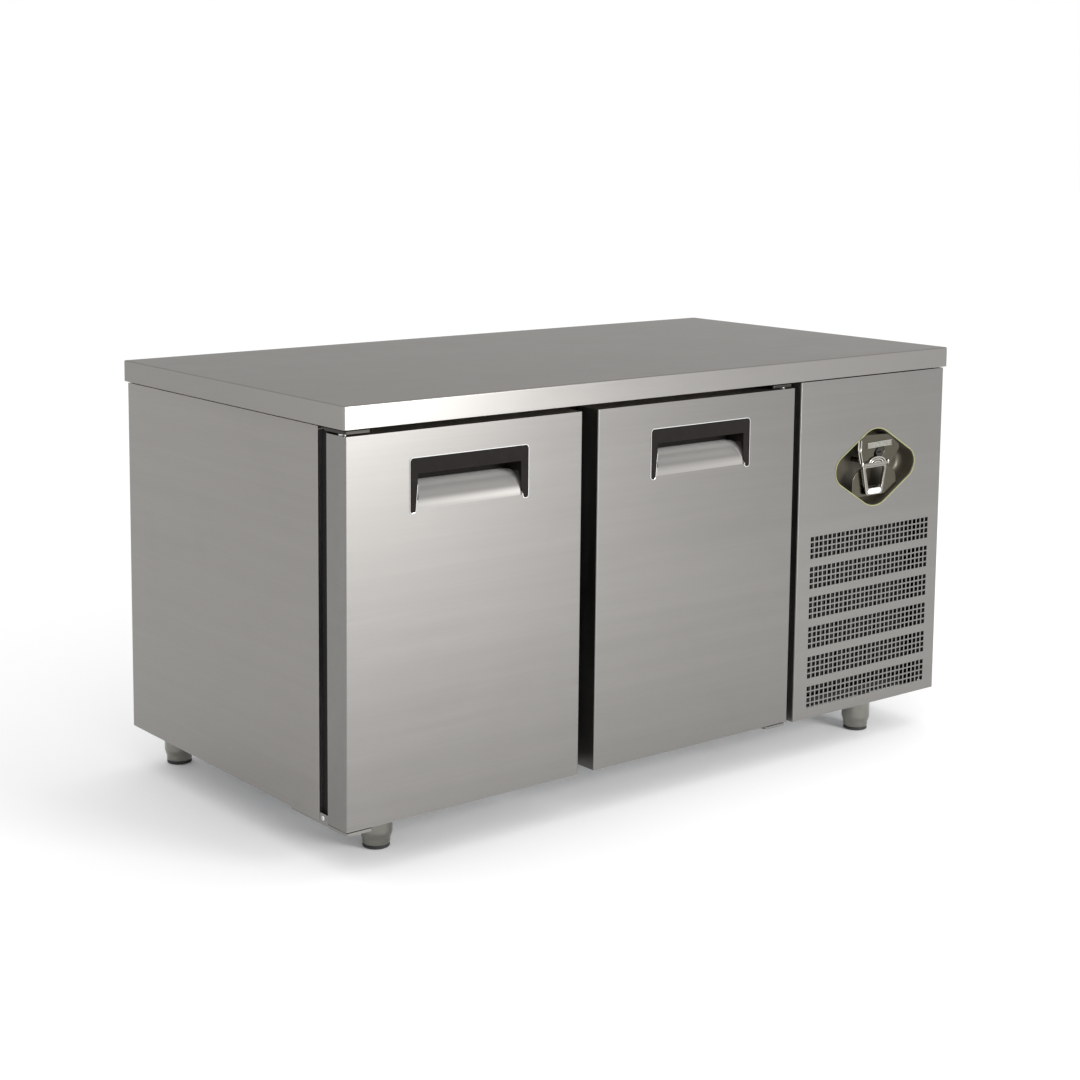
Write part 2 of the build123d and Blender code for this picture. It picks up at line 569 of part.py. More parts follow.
def pull_loop():
    """Tapered loop that hangs from its pin and folds out to be pulled."""
    y, z = LOOP_PIVOT
    top, low, offset = LOOP_TOP_W / 2, LOOP_LOW_W / 2, z - DISH_Z
    outline = [(-top, offset), (top, offset), (low, offset - LOOP_DROP), (-low, offset - LOOP_DROP)]
    loop = latch_outline(outline, y - 2.5, 4.5)
    loop = fillet(loop.edges().filter_by(Axis.Y).sort_by(Axis.Z)[:2], 5.0)
    gap = latch_outline([(-25, -3), (25, -3), (17.5, -41), (-17.5, -41)], y - 30, 60.0)
    gap = fillet(gap.edges().filter_by(Axis.Y), 3.0)
    barrel = rod((DISH_X - top, y, z), "X", LOOP_BARREL_R, LOOP_TOP_W)
    return loop - gap + barrel - rod((DISH_X - 60, y, z), "X", LOOP_BORE_R, 120)


def lock_cylinder():
    """Key barrel through the latch plate and the dish, with a cam behind it."""
    back = DOOR_FRONT + DISH_DEPTH + 12
    barrel = rod((LOCK_X, LATCH_FRONT - 0.5, LOCK_Z), "Y", LOCK_R, back - LATCH_FRONT + 0.5)
    keyway = block((LOCK_X - 6, LOCK_X + 6), (LATCH_FRONT - 2, LATCH_FRONT + 8), (LOCK_Z - 1.2, LOCK_Z + 1.2))
    cam = block((LOCK_X - 8, LOCK_X + 48), (back - 5, back - 2), (LOCK_Z - 8, LOCK_Z + 8))
    cam = fillet(cam.edges().filter_by(Axis.Y), 6.0)
    return barrel + cam - keyway


# ---------------------------------------------------------------- feet

def foot_sleeves():
    """Fixed upper sleeves, one welded under each corner."""
    sleeves = []
    for _, x, y in FEET:
        tube = rod((x, y, SLEEVE_BOTTOM), "Z", SLEEVE_R, CASE_BOTTOM - SLEEVE_BOTTOM)
        tube = chamfer(tube.edges().sort_by(Axis.Z)[0], 1.5)
        sleeves.append(tube - rod((x, y, 0), "Z", SLEEVE_BORE_R, CASE_BOTTOM - 8))
    return group(sleeves)


def lower_foot(x, y):
    """Screwed lower foot: steel barrel on a thin black pad."""
    barrel = rod((x, y, PAD), "Z", FOOT_R, FOOT_TOP - PAD)
    barrel = fillet(barrel.edges().sort_by(Axis.Z)[0], 2.0)
    return barrel + rod((x, y, 0), "Z", PAD_R, PAD)


# ---------------------------------------------------------------- cold bay fittings

def bay_widths():
    """Clear X limits of the left and right bays, up to the evaporator."""
    return (BAY_X[0], MULLION_X[0] + 6), (MULLION_X[1] - 6, EVAP_X[0])


def shelf_limits(bay):
    return inset(bay, SHELF_CLEAR)


def upright_spots():
    """(x, y, turn) of the uprights: the middle of each foot line on its wall, turn is the way it faces."""
    spots = []
    left_bay, right_bay = bay_widths()
    for bay, inner in ((left_bay, 1), (right_bay, 0)):
        outer = 1 - inner
        step = (1, -1)
        for y in (-169, 251):
            spots.append((bay[outer], y, 0 if step[outer] > 0 else 180))
        spots.append((bay[inner], -274, 0 if step[inner] > 0 else 180))
        spots.append((bay[inner] + step[inner] * 29, BAY_Y[1], -90))
    return spots


def shelf_uprights():
    """Slotted strips on the bay's side walls, the mullion post and the back wall."""
    strip = block((0, UPRIGHT), (-UPRIGHT_WIDTH / 2, UPRIGHT_WIDTH / 2), UPRIGHT_Z)
    slots = [block((-1, UPRIGHT + 1), (-5, 5), (z, z + 5)) for z in range(170, 690, 40)]
    strip -= slots
    return group([Pos(x, y, 0) * Rot(0, 0, turn) * strip for x, y, turn in upright_spots()])


def shelf_clips():
    """Clips hooked on the uprights: the shelves lie on them."""
    half = CLIP_WIDTH / 2
    low = SHELF_Z - RIM_R
    arm = block((UPRIGHT, UPRIGHT + CLIP_REACH), (-half, half), (low - 4, low))
    clip = arm + block((UPRIGHT, UPRIGHT + 2), (-half, half), (SHELF_Z - CLIP_DROP, low))
    return group([Pos(x, y, 0) * Rot(0, 0, turn) * clip for x, y, turn in upright_spots()])


def wire_shelf(bay):
    """Wire shelf: a rounded rim, two cross rods and a row of wires from front to back."""
    x, y = shelf_limits(bay), SHELF_Y
    loop = FilletPolyline((x[0], y[0], SHELF_Z), (x[1], y[0], SHELF_Z), (x[1], y[1], SHELF_Z),
                          (x[0], y[1], SHELF_Z), radius=14, close=True)
    shelf = sweep(Plane(origin=loop @ 0, z_dir=loop % 0) * Circle(RIM_R), path=loop)
    for share in (0.34, 0.67):
        shelf += rod((x[0], y[0] + share * (y[1] - y[0]), SHELF_Z), "X", RIM_R - 1, x[1] - x[0])
    count = int((x[1] - x[0]) // WIRE_PITCH)
    step = (x[1] - x[0]) / count
    for i in range(1, count):
        shelf += rod((x[0] + i * step, y[0], SHELF_Z + RIM_R), "Y", WIRE_R, y[1] - y[0])
    return shelf


def evaporator_cover():
    """Sheet housing on the bay's right wall, with a round fan opening and intake slots."""
    outer = block(EVAP_X, EVAP_Y, EVAP_Z)
    hollow = block((EVAP_X[0] + SHEET, EVAP_X[1] + 5), inset(EVAP_Y, SHEET), inset(EVAP_Z, SHEET))
    cover = outer - hollow - rod((EVAP_X[0] - 5, *EVAP_FAN), "X", EVAP_FAN_R + 4, 20)
    slots = [block((EVAP_X[0] - 1, EVAP_X[0] + 3), (-150, 260), (z, z + 5)) for z in range(215, 330, 14)]
    ring = rod((EVAP_X[0] - 3, *EVAP_FAN), "X", EVAP_FAN_R + 8, 3) - rod((EVAP_X[0] - 5, *EVAP_FAN), "X",
                                                                      EVAP_FAN_R + 4, 10)
    return cover - slots + ring


def evaporator_coil():
    """Finned block low in the housing, where the air is drawn in."""
    x, y, z = (196, 244), (-170, 280), (212, 440)
    core = block(inset(x, 6), y, z)
    fins = [block(x, (fin, fin + 1.5), z) for fin in range(int(y[0]), int(y[1]), 9)]
    return core + fins


def fan_blade(axis, centre, radius, depth, blades):
    """Hub and pitched blades about the centre, along X or Y."""
    hub = rod((0, 0, -depth / 2), "Z", 16, depth)
    wheel = hub
    for i in range(blades):
        blade = Pos((radius + 12) / 2, 0, 0) * Rot(26, 0, 0) * Box(radius - 14, radius * 0.52, 1.6)
        wheel += Rot(0, 0, i * 360 / blades) * blade
    wheel &= Pos(0, 0, -depth) * Cylinder(radius, 2 * depth, align=(Align.CENTER, Align.CENTER, Align.MIN))
    turn = Rot(0, 90, 0) if axis == "X" else Rot(-90, 0, 0)
    return Pos(*centre) * turn * wheel


def evaporator_fan_motor():
    body = rod((EVAP_X[0] + 38, *EVAP_FAN), "X", 30, 34)
    y, z = EVAP_FAN
    arms = block((EVAP_X[0] + 50, EVAP_X[0] + 53), (y - 110, y + 110), (z - 7, z + 7))
    stays = [block((EVAP_X[0] + SHEET, EVAP_X[0] + 53), (end, end + 3), (z - 7, z + 7))
             for end in (y - 110, y + 107)]
    return body + arms + stays


def drip_tray():
    """Sloping tray under the coil, with its drain spout through the floor."""
    x, y = (178, 246), (-180, 290)
    tray = block(x, y, (172, 188)) - block(inset(x, 1.5), inset(y, 1.5), (173.5, 190))
    spout = rod((212, 270, 60), "Z", 8, 112)
    return tray + spout - rod((212, 270, 50), "Z", 6.5, 140)


def drain_passage():
    return rod((212, 270, 40), "Z", 8.3, 130)


# ---------------------------------------------------------------- machine bay

def unit_base():
    """Base tray of the condensing unit, on two runners, with upturned edges."""
    x, y = (332, 728), (-322, 350)
    tray = block(x, y, (UNIT_BASE_Z, UNIT_BASE_Z + 14))
    tray -= block(inset(x, 1.5), inset(y, 1.5), (UNIT_BASE_Z + 1.5, UNIT_BASE_Z + 20))
    runners = [block((a, a + 30), y, (CASE_BOTTOM + PAN_SHEET, UNIT_BASE_Z)) for a in (350, 680)]
    return tray + runners


def compressor():
    """Hermetic shell on its foot plate, with a terminal box and stubs."""
    x, y = COMPRESSOR
    base = UNIT_BASE_Z + 22
    plate = block((x - 90, x + 90), (y - 65, y + 65), (base, base + 3))
    for spot in MOUNT_SPOTS:
        plate -= rod((*spot, base - 5), "Z", 6, 20)
    shell = rod((x, y, base + 3), "Z", 72, 145)
    shell = fillet(shell.edges().sort_by(Axis.Z)[-1], 38)
    shell = fillet(shell.edges().sort_by(Axis.Z)[0], 14)
    weld = rod((x, y, base + 70), "Z", 74, 5)
    terminals = block((x - 105, x - 60), (y - 26, y + 26), (base + 50, base + 100))
    stub = rod((x + 30, y - 30, base + 100), "Z", 6, 60)
    return plate + shell + weld + terminals + stub


def compressor_mounts():
    """Rubber grommets between the foot plate and the base tray."""
    mounts = []
    for x, y in MOUNT_SPOTS:
        low = rod((x, y, UNIT_BASE_Z + 1.5), "Z", 11, MOUNT_HEIGHT)
        neck = rod((x, y, UNIT_BASE_Z + 22), "Z", 6, 3)
        cap = rod((x, y, UNIT_BASE_Z + 25), "Z", 9, 6)
        mounts.append(low + neck + cap)
    return group(mounts)


def condenser_coil():
    """Finned block behind the ventilation holes."""
    core = block(COIL_X, inset(COIL_Y, 5), COIL_Z)
    fins = [block((x, x + 1.5), COIL_Y, COIL_Z) for x in range(int(COIL_X[0]), int(COIL_X[1]), 9)]
    legs = [block((x, x + 12), inset(COIL_Y, 8), (UNIT_BASE_Z + 1.5, COIL_Z[0])) for x in (360, 676)]
    return core + fins + legs


def fan_shroud():
    """Sheet cowl behind the condenser with a round outlet."""
    y = (COIL_Y[1], SHROUD_BACK)
    outer = block(COIL_X, y, COIL_Z)
    hollow = block(inset(COIL_X, 2), (y[0] - 5, y[1] - 2), inset(COIL_Z, 2))
    return outer - hollow - rod((FAN_X, y[1] - 20, FAN_Z), "Y", FAN_R + 7, 40)


def condenser_fan_motor():
    """Motor on a three-armed bracket that is screwed to the shroud."""
    y = SHROUD_BACK
    body = rod((FAN_X, y + 42, FAN_Z), "Y", 38, 60)
    body = fillet(body.edges().sort_by(Axis.Y)[-1], 8)
    for angle in (90, 210, 330):
        reach = FAN_R + 12
        arm = Pos(reach / 2, 0, 44) * Box(reach, 12, 4)
        leg = Pos(reach, 0, 23) * Box(6, 12, 46)
        body += Pos(FAN_X, y, FAN_Z) * Rot(-90, 0, 0) * Rot(0, 0, angle) * (arm + leg)
    return body


def tube(points, radius, bend):
    """Pipe through the points, with bends of one radius."""
    path = FilletPolyline(*points, radius=bend)
    return sweep(Plane(origin=path @ 0, z_dir=path % 0) * Circle(radius), path=path)


def copper_pipes():
    """Discharge, liquid and suction lines between the compressor, the coils and the drier."""
    x, y = COMPRESSOR
    top = UNIT_BASE_Z + 22 + 160.5
    discharge = tube([(x + 30, y - 30, top), (x + 30, y - 30, top + 60), (690, y - 30, top + 60),
                      (690, -215, top + 60), (690, -215, 292), (690, SHROUD_BACK, 292)], 4, 16)
    drier_x, drier_y = DRIER
    liquid = tube([(drier_x, SHROUD_BACK, 130), (drier_x, drier_y, 130), (drier_x, drier_y, 219)], 3, 16)
    suction = tube([(drier_x, drier_y, 351), (drier_x, drier_y, 480), (drier_x, 200, 480),
                    (DIVIDER_X + SHEET, 200, 480)], 3, 16)
    return group([discharge, liquid, suction])


def filter_drier():
    """Upright copper drier with necked ends."""
    x, y = DRIER
    body = rod((x, y, 235), "Z", 13, 100)
    body = fillet(body.edges(), 6)
    return body + rod((x, y, 220), "Z", 4.5, 130)


def control_box():
    """Box on the divider wall, high behind the service panel, with a thermostat dial and a switch bezel."""
    x, y, z = (DIVIDER_X + SHEET, 410.0), (-300.0, -190.0), (560.0, 735.0)
    box = block(x, y, z)
    box = fillet(box.edges().filter_by(Axis.Y), 5)
    dial = rod((360, y[0] - 14, 690), "Y", 19, 14)
    dial = fillet(dial.edges().sort_by(Axis.Y)[0], 2)
    pocket = block(*switch_pocket(0.0))
    bezel = block((343, 377), (y[0] - 3, y[0]), (594, 646)) - pocket
    return box + dial + bezel - pocket


def switch_pocket(gap):
    x, y, z = SWITCH_CENTRE
    return (x - 11 + gap, x + 11 - gap), (y - 20, y + 14), (z - 17 + gap, z + 17 - gap)


def rocker_switch():
    """Rocker, tilted to its off position about a pivot behind its middle."""
    x, y, z = SWITCH_CENTRE
    profile = [(-5, -12.5), (-2.6, 0), (-5, 12.5), (5, 9), (7, 0), (5, -9)]
    body = prism_x([(y + dy, z + dz) for dy, dz in profile], x - 10.4, x + 10.4)
    pivot = Pos(0, y + 2, z)
    return pivot * Rot(7, 0, 0) * Pos(0, -y - 2, -z) * body


def cable_gland():
    """Gland for the mains lead in the back panel: flange, barrel, inner nut and bore."""
    flange = rod((GLAND_X, CASE_BACK, GLAND_Z), "Y", 11, 2)
    barrel = rod((GLAND_X, CASE_BACK - 18, GLAND_Z), "Y", 8, 18)
    nut = rod((GLAND_X, CASE_BACK - SHEET - 6, GLAND_Z), "Y", 12, 6)
    return flange + barrel + nut - rod((GLAND_X, CASE_BACK - 30, GLAND_Z), "Y", GLAND_BORE_R, 40)


def door_parts(side, door_x):
    """The six pieces of one door leaf, named by its side."""
    makers = {"skin": door_skin, "foam": door_foam, "inner_panel": door_inner_panel,
              "gasket": door_gasket, "handle": door_handle, "bushes": door_bushes}
    return {f"{side}_door_{name}": make(door_x) for name, make in makers.items()}


def main():
    os.makedirs("parts", exist_ok=True)
    left_bay, right_bay = bay_widths()
    passage = drain_passage()
    parts = {
        "worktop_skin": worktop_skin(),
        "worktop_core": worktop_core(),
        "top_spacer": top_spacer(),
        "left_side_panel": side_panel(-1, CASE_FRONT),
        "right_side_panel": side_panel(1, BAY_FRONT),
        "back_panel": back_panel(),
        "bottom_pan": bottom_pan() - passage,
        "case_insulation": group([slab - passage for slab in case_insulation().solids()]),
        "cold_liner": cold_liner() - passage,
        "breaker_strips": breaker_strips(),
        "mullion_post": mullion_post(),
        "divider_panel": divider_panel(),
        "upper_hinges": upper_hinges(),
        "lower_hinges": lower_hinges(),
        "hinge_pins": hinge_pins(),
        "case_screws": case_screws(),
        "shelf_uprights": shelf_uprights(),
        "shelf_clips": shelf_clips(),
        "left_shelf": wire_shelf(left_bay),
        "right_shelf": wire_shelf(right_bay),
        "evaporator_cover": evaporator_cover(),
        "evaporator_coil": evaporator_coil(),
        "evaporator_fan_motor": evaporator_fan_motor(),
        "evaporator_fan_blade": fan_blade("X", (EVAP_X[0] + 18, *EVAP_FAN), EVAP_FAN_R, 20, 5),
        "drip_tray": drip_tray(),
        "unit_base": unit_base(),
        "compressor": compressor(),
        "compressor_mounts": compressor_mounts(),
        "condenser_coil": condenser_coil(),
        "fan_shroud": fan_shroud(),
        "condenser_fan_motor": condenser_fan_motor(),
        "condenser_fan_blade": fan_blade("Y", (FAN_X, SHROUD_BACK + 24, FAN_Z), FAN_R, 26, 5),
        "copper_pipes": copper_pipes(),
        "filter_drier": filter_drier(),
        "control_box": control_box(),
        "rocker_switch": rocker_switch(),
        "cable_gland": cable_gland(),
        "foot_sleeves": foot_sleeves(),
        "service_panel_skin": service_panel_skin(),
        "latch_dish": latch_dish(),
        "dish_seal": dish_seal(),
        "latch_plate": latch_plate(),
        "pull_loop": pull_loop(),
        "lock_cylinder": lock_cylinder(),
    }
    parts.update({"foot_" + name: lower_foot(x, y) for name, x, y in FEET})
    parts.update(door_parts("left", LEFT_X))
    parts.update(door_parts("right", RIGHT_X))
    for name, shape in parts.items():
        write(name, shape)


main()
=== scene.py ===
"""Two-door undercounter refrigerator: looks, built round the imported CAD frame. Metres, row frame."""
import math

import bmesh
import bpy
from mathutils import Matrix, Vector


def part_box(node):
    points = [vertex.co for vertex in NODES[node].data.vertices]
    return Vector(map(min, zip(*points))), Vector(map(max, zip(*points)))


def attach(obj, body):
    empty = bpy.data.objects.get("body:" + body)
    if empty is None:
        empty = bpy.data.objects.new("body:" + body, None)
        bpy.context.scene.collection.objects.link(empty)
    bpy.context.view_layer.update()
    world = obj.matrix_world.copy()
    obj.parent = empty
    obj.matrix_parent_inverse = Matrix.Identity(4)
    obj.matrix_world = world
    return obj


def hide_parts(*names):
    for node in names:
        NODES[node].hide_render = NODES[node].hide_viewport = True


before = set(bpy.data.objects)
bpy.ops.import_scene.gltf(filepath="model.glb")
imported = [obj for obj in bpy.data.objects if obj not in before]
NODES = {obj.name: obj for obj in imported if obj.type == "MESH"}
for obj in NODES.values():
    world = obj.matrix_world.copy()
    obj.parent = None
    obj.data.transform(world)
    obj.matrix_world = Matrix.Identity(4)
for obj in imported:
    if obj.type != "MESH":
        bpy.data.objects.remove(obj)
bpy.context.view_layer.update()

# ---------------------------------------------------------------- camera

LENS, SHIFT = 65.889, (0.0500, -0.1500)
CAMERA_AT = Vector((-2.4986, -3.0186, 1.2548))
YAW, PITCH, ROLL = 0.6579, 0.1283, 0.0064


def make_camera():
    """Camera at its place, aimed by yaw from +Y towards +X, pitch down and a slight roll."""
    forward = Vector((math.sin(YAW) * math.cos(PITCH), math.cos(YAW) * math.cos(PITCH), -math.sin(PITCH)))
    level = Vector((math.cos(YAW), -math.sin(YAW), 0))
    upright = level.cross(forward)
    right = level * math.cos(ROLL) + upright * math.sin(ROLL)
    up = upright * math.cos(ROLL) - level * math.sin(ROLL)
    data = bpy.data.cameras.new("camera")
    data.sensor_width, data.lens = 36.0, LENS
    data.shift_x, data.shift_y = SHIFT
    data.clip_start, data.clip_end = 0.05, 100
    camera = bpy.data.objects.new("camera", data)
    axes = Matrix((right, up, -forward)).transposed().to_4x4()
    camera.matrix_world = Matrix.Translation(CAMERA_AT) @ axes
    bpy.context.scene.collection.objects.link(camera)
    bpy.context.scene.camera = camera


make_camera()


# ---------------------------------------------------------------- studio

def area_light(name, at, aim, size, power):
    """White rectangular light at a point, turned towards another."""
    data = bpy.data.lights.new(name, "AREA")
    data.shape, data.size, data.size_y = "RECTANGLE", *size
    data.energy = power
    lamp = bpy.data.objects.new(name, data)
    lamp.location = at
    lamp.rotation_euler = (Vector(aim) - Vector(at)).to_track_quat("-Z", "Y").to_euler()
    bpy.context.scene.collection.objects.link(lamp)


def make_world():
    """White studio: plain white to the camera, and a little brighter as light."""
    world = bpy.data.worlds.new("studio")
    world.use_nodes = True
    bpy.context.scene.world = world
    tree = world.node_tree
    tree.nodes.clear()
    out = tree.nodes.new("ShaderNodeOutputWorld")
    seen = tree.nodes.new("ShaderNodeBackground")
    seen.inputs["Color"].default_value = (1, 1, 1, 1)
    seen.inputs["Strength"].default_value = 1.0
    lit = tree.nodes.new("ShaderNodeBackground")
    lit.inputs["Strength"].default_value = 1.08
    lit.inputs["Color"].default_value = (1, 1, 1, 1)
    path = tree.nodes.new("ShaderNodeLightPath")
    mix = tree.nodes.new("ShaderNodeMixShader")
    link = tree.links.new
    link(path.outputs["Is Camera Ray"], mix.inputs["Fac"])
    link(lit.outputs[0], mix.inputs[1])
    link(seen.outputs[0], mix.inputs[2])
    link(mix.outputs[0], out.inputs["Surface"])


def make_floor():
    """Pale floor just under the feet, with a little light of its own."""
    mesh = bpy.data.meshes.new("floor")
    reach = 30
    corners = [(-reach, -reach, 0), (reach, -reach, 0), (reach, reach, 0), (-reach, reach, 0)]
    mesh.from_pydata(corners, [], [(0, 1, 2, 3)])
    floor = bpy.data.objects.new("floor", mesh)
    floor.location.z = -0.0005
    bpy.context.scene.collection.objects.link(floor)
    material = bpy.data.materials.new("floor")
    material.use_nodes = True
    shader = material.node_tree.nodes["Principled BSDF"]
    shader.inputs["Base Color"].default_value = (0.9, 0.9, 0.9, 1)
    shader.inputs["Roughness"].default_value = 0.9
    shader.inputs["Specular IOR Level"].default_value = 0.1
    shader.inputs["Emission Color"].default_value = (1, 1, 1, 1)
    shader.inputs["Emission Strength"].default_value = 0.06
    mesh.materials.append(material)


make_world()
make_floor()
area_light("front_card", (0.89, -3.5, 1.25), (-0.7, -0.4, 0.75), (1.35, 1.45), 97)
bpy.context.scene.view_settings.view_transform = "Standard"
bpy.context.scene.view_settings.look = "None"


# ---------------------------------------------------------------- materials

class Surface:
    """Small wrapper that builds one Principled material with object-space procedural detail."""

    def __init__(self, name, colour, rough, metal=0.0, **sockets):
        self.material = bpy.data.materials.new(name)
        self.material.use_nodes = True
        self.tree = self.material.node_tree
        self.shader = self.tree.nodes["Principled BSDF"]
        self.coords = self.tree.nodes.new("ShaderNodeTexCoord")
        self.colour, self.rough = colour, rough
        self.shader.inputs["Base Color"].default_value = (*colour, 1)
        self.shader.inputs["Roughness"].default_value = rough
        self.shader.inputs["Metallic"].default_value = metal
        for socket, value in sockets.items():
            self.shader.inputs[socket.replace("_", " ")].default_value = value
        self.tint = None
        self.roughness = None
        self.height = None

    def node(self, kind, **values):
        made = self.tree.nodes.new(kind)
        for key, value in values.items():
            setattr(made, key, value)
        return made

    def stretched(self, scale):
        """Object coordinates, at rest, multiplied by one number for each axis."""
        mapping = self.node("ShaderNodeMapping")
        mapping.inputs["Scale"].default_value = scale
        self.tree.links.new(self.coords.outputs["Object"], mapping.inputs["Vector"])
        return mapping.outputs["Vector"]

    def noise(self, scale, detail=3.0, roughness=0.5, distortion=0.0):
        """Noise factor. scale is one number, or one for each axis, in cycles per metre."""
        texture = self.node("ShaderNodeTexNoise")
        texture.inputs["Scale"].default_value = 1.0
        texture.inputs["Detail"].default_value = detail
        texture.inputs["Roughness"].default_value = roughness
        texture.inputs["Distortion"].default_value = distortion
        triple = scale if isinstance(scale, tuple) else (scale,) * 3
        self.tree.links.new(self.stretched(triple), texture.inputs["Vector"])
        return texture.outputs["Fac"]

    def voronoi(self, scale):
        """Distance to the nearest cell point. scale is in cells per metre."""
        texture = self.node("ShaderNodeTexVoronoi", feature="F1")
        texture.inputs["Scale"].default_value = 1.0
        self.tree.links.new(self.stretched((scale,) * 3), texture.inputs["Vector"])
        return texture.outputs["Distance"]

    def remap(self, value, low, high, to_low, to_high):
        node = self.node("ShaderNodeMapRange")
        for socket, number in zip(("From Min", "From Max", "To Min", "To Max"), (low, high, to_low, to_high)):
            node.inputs[socket].default_value = number
        self.tree.links.new(value, node.inputs["Value"])
        return node.outputs["Result"]

    def beyond(self, axis, at, soft=0.0001, below=False):
        """1 where the rest position is past a plane (or short of it), 0 elsewhere."""
        split = self.node("ShaderNodeSeparateXYZ")
        self.tree.links.new(self.coords.outputs["Object"], split.inputs[0])
        ends = (1.0, 0.0) if below else (0.0, 1.0)
        return self.remap(split.outputs[axis], at - soft, at + soft, *ends)

    def facing(self, axis, low, high):
        """0 to 1 as a face's normal, either way along an axis, goes from low to high."""
        geometry = self.node("ShaderNodeNewGeometry")
        split = self.node("ShaderNodeSeparateXYZ")
        self.tree.links.new(geometry.outputs["Normal"], split.inputs[0])
        return self.remap(self.maths("ABSOLUTE", split.outputs[axis], 0.0), low, high, 0.0, 1.0)

    def maths(self, operation, a, b):
        node = self.node("ShaderNodeMath", operation=operation)
        for index, value in enumerate((a, b)):
            if isinstance(value, (int, float)):
                node.inputs[index].default_value = value
            else:
                self.tree.links.new(value, node.inputs[index])
        return node.outputs[0]

    def edges(self, radius):
        """1 on edges with that radius, 0 elsewhere. The finishes paint these lighter: rubbed wear on plastic
        and enamel, and on brushed steel partly wear, partly a painted highlight.
        """
        bevel = self.node("ShaderNodeBevel", samples=4)
        bevel.inputs["Radius"].default_value = radius
        geometry = self.node("ShaderNodeNewGeometry")
        dot = self.node("ShaderNodeVectorMath", operation="DOT_PRODUCT")
        self.tree.links.new(bevel.outputs[0], dot.inputs[0])
        self.tree.links.new(geometry.outputs["Normal"], dot.inputs[1])
        return self.remap(dot.outputs["Value"], 1.0, 0.93, 0.0, 1.0)

    def stretch_gloss(self, axis, amount):
        """Highlights drawn out across the brushing. axis is the direction of the brushing."""
        tangent = self.node("ShaderNodeTangent", direction_type="RADIAL", axis=axis)
        self.tree.links.new(tangent.outputs[0], self.shader.inputs["Tangent"])
        self.shader.inputs["Anisotropic"].default_value = amount

    def paint(self, factor, colour, strength=1.0):
        """Mixes a colour over the present one by a factor from 0 to 1."""
        mix = self.node("ShaderNodeMix", data_type="RGBA")
        if self.tint is None:
            mix.inputs["A"].default_value = (*self.colour, 1)
        else:
            self.tree.links.new(self.tint, mix.inputs["A"])
        mix.inputs["B"].default_value = (*colour, 1)
        self.tree.links.new(self.maths("MULTIPLY", factor, strength), mix.inputs["Factor"])
        self.tint = mix.outputs["Result"]
        self.tree.links.new(self.tint, self.shader.inputs["Base Color"])

    def roughen(self, factor, amount):
        """Adds amount times (factor - 0.5) to the roughness."""
        base = self.rough if self.roughness is None else self.roughness
        shift = self.maths("MULTIPLY", self.maths("SUBTRACT", factor, 0.5), amount)
        self.roughness = self.maths("ADD", shift, base)
        self.tree.links.new(self.roughness, self.shader.inputs["Roughness"])

    def bump(self, factor, depth, strength=1.0):
        """Adds relief. depth is in metres."""
        bump = self.node("ShaderNodeBump")
        bump.inputs["Distance"].default_value = depth
        bump.inputs["Strength"].default_value = strength
        self.tree.links.new(factor, bump.inputs["Height"])
        if self.height is not None:
            self.tree.links.new(self.height, bump.inputs["Normal"])
        self.height = bump.outputs["Normal"]
        self.tree.links.new(self.height, self.shader.inputs["Normal"])


def scale_tint(colour, share):
    """Lighter or darker colour."""
    return tuple(min(1.0, c * share) for c in colour)


def brushed(name, colour, rough, along, depth=0.00002, smudges=0.05, finish_off=None, metal=1.0, **sockets):
    """Brushed sheet: fine scratches along one axis, wider bands of tone, faint smudges, lighter edges."""
    surface = Surface(name, colour, rough, metal, **sockets)

    def grain(fine, length, detail):
        scale = [fine] * 3
        scale["XYZ".index(along)] = length
        return surface.noise(tuple(scale), detail, 0.6)

    fine = grain(1400, 9, 2)
    middle = grain(330, 3, 4)
    wide = grain(38, 1.1, 3)
    surface.paint(surface.remap(middle, 0.3, 0.7, 0, 1), scale_tint(colour, 1.10), 0.5)
    surface.paint(surface.remap(wide, 0.35, 0.7, 0, 1), scale_tint(colour, 0.90), 0.35)
    clouds = surface.remap(surface.noise(5.5, 5, 0.6), 0.55, 0.8, 0, 1)
    surface.paint(clouds, scale_tint(colour, 0.82), smudges * 4)
    # Lighter edges: partly rubbed wear, partly a painted highlight along the steel's edges.
    surface.paint(surface.edges(0.0016), scale_tint(colour, 1.35), 0.45)
    surface.stretch_gloss(along, 0.45)
    surface.roughen(fine, 0.12)
    surface.roughen(middle, 0.07)
    surface.roughen(surface.noise(9, 4, 0.6), smudges)
    surface.bump(fine, depth, 0.5)
    surface.bump(middle, depth * 1.4, 0.35)
    if finish_off:
        finish_off(surface)
    return surface.material


def painted_light_on_uprights(surface):
    """Painted light: the worktop's upright faces get a lighter colour than its top."""
    surface.paint(surface.facing("Z", 0.6, 0.3), scale_tint(STEEL, 1.22))


def painted_shade_in_skin(low_x, high_x, face_y, last_y):
    """Near-black painted shade inside a folded skin, on the faces that show through the vent holes."""
    def line(surface):
        inside = surface.maths("MULTIPLY", surface.beyond("X", low_x),
                               surface.beyond("X", high_x, below=True))
        behind = surface.maths("MULTIPLY", surface.beyond("Y", face_y),
                               surface.beyond("Y", last_y, below=True))
        surface.paint(surface.maths("MULTIPLY", inside, behind), (0.006, 0.006, 0.006))
    return line


def painted_light_and_shade_by_depth(surface):
    """Painted light and shade on a grip's steel tongue, by depth: painted shade just behind the door face,
    painted light deeper in, painted shade at the lip, and near-black painted shade on its side walls.
    """
    surface.paint(surface.beyond("Y", DOOR_FACE + 0.0020, 0.0018), (0.16, 0.155, 0.147))
    surface.paint(surface.beyond("Y", DOOR_FACE + 0.015, 0.010), (0.50, 0.49, 0.47))
    surface.paint(surface.beyond("Y", DOOR_FACE + 0.027, 0.010), (0.95, 0.93, 0.90))
    surface.paint(surface.beyond("Y", DOOR_FACE + 0.0445, 0.0015), (0.10, 0.095, 0.09))
    surface.paint(surface.facing("X", 0.30, 0.92), (0.035, 0.032, 0.029))


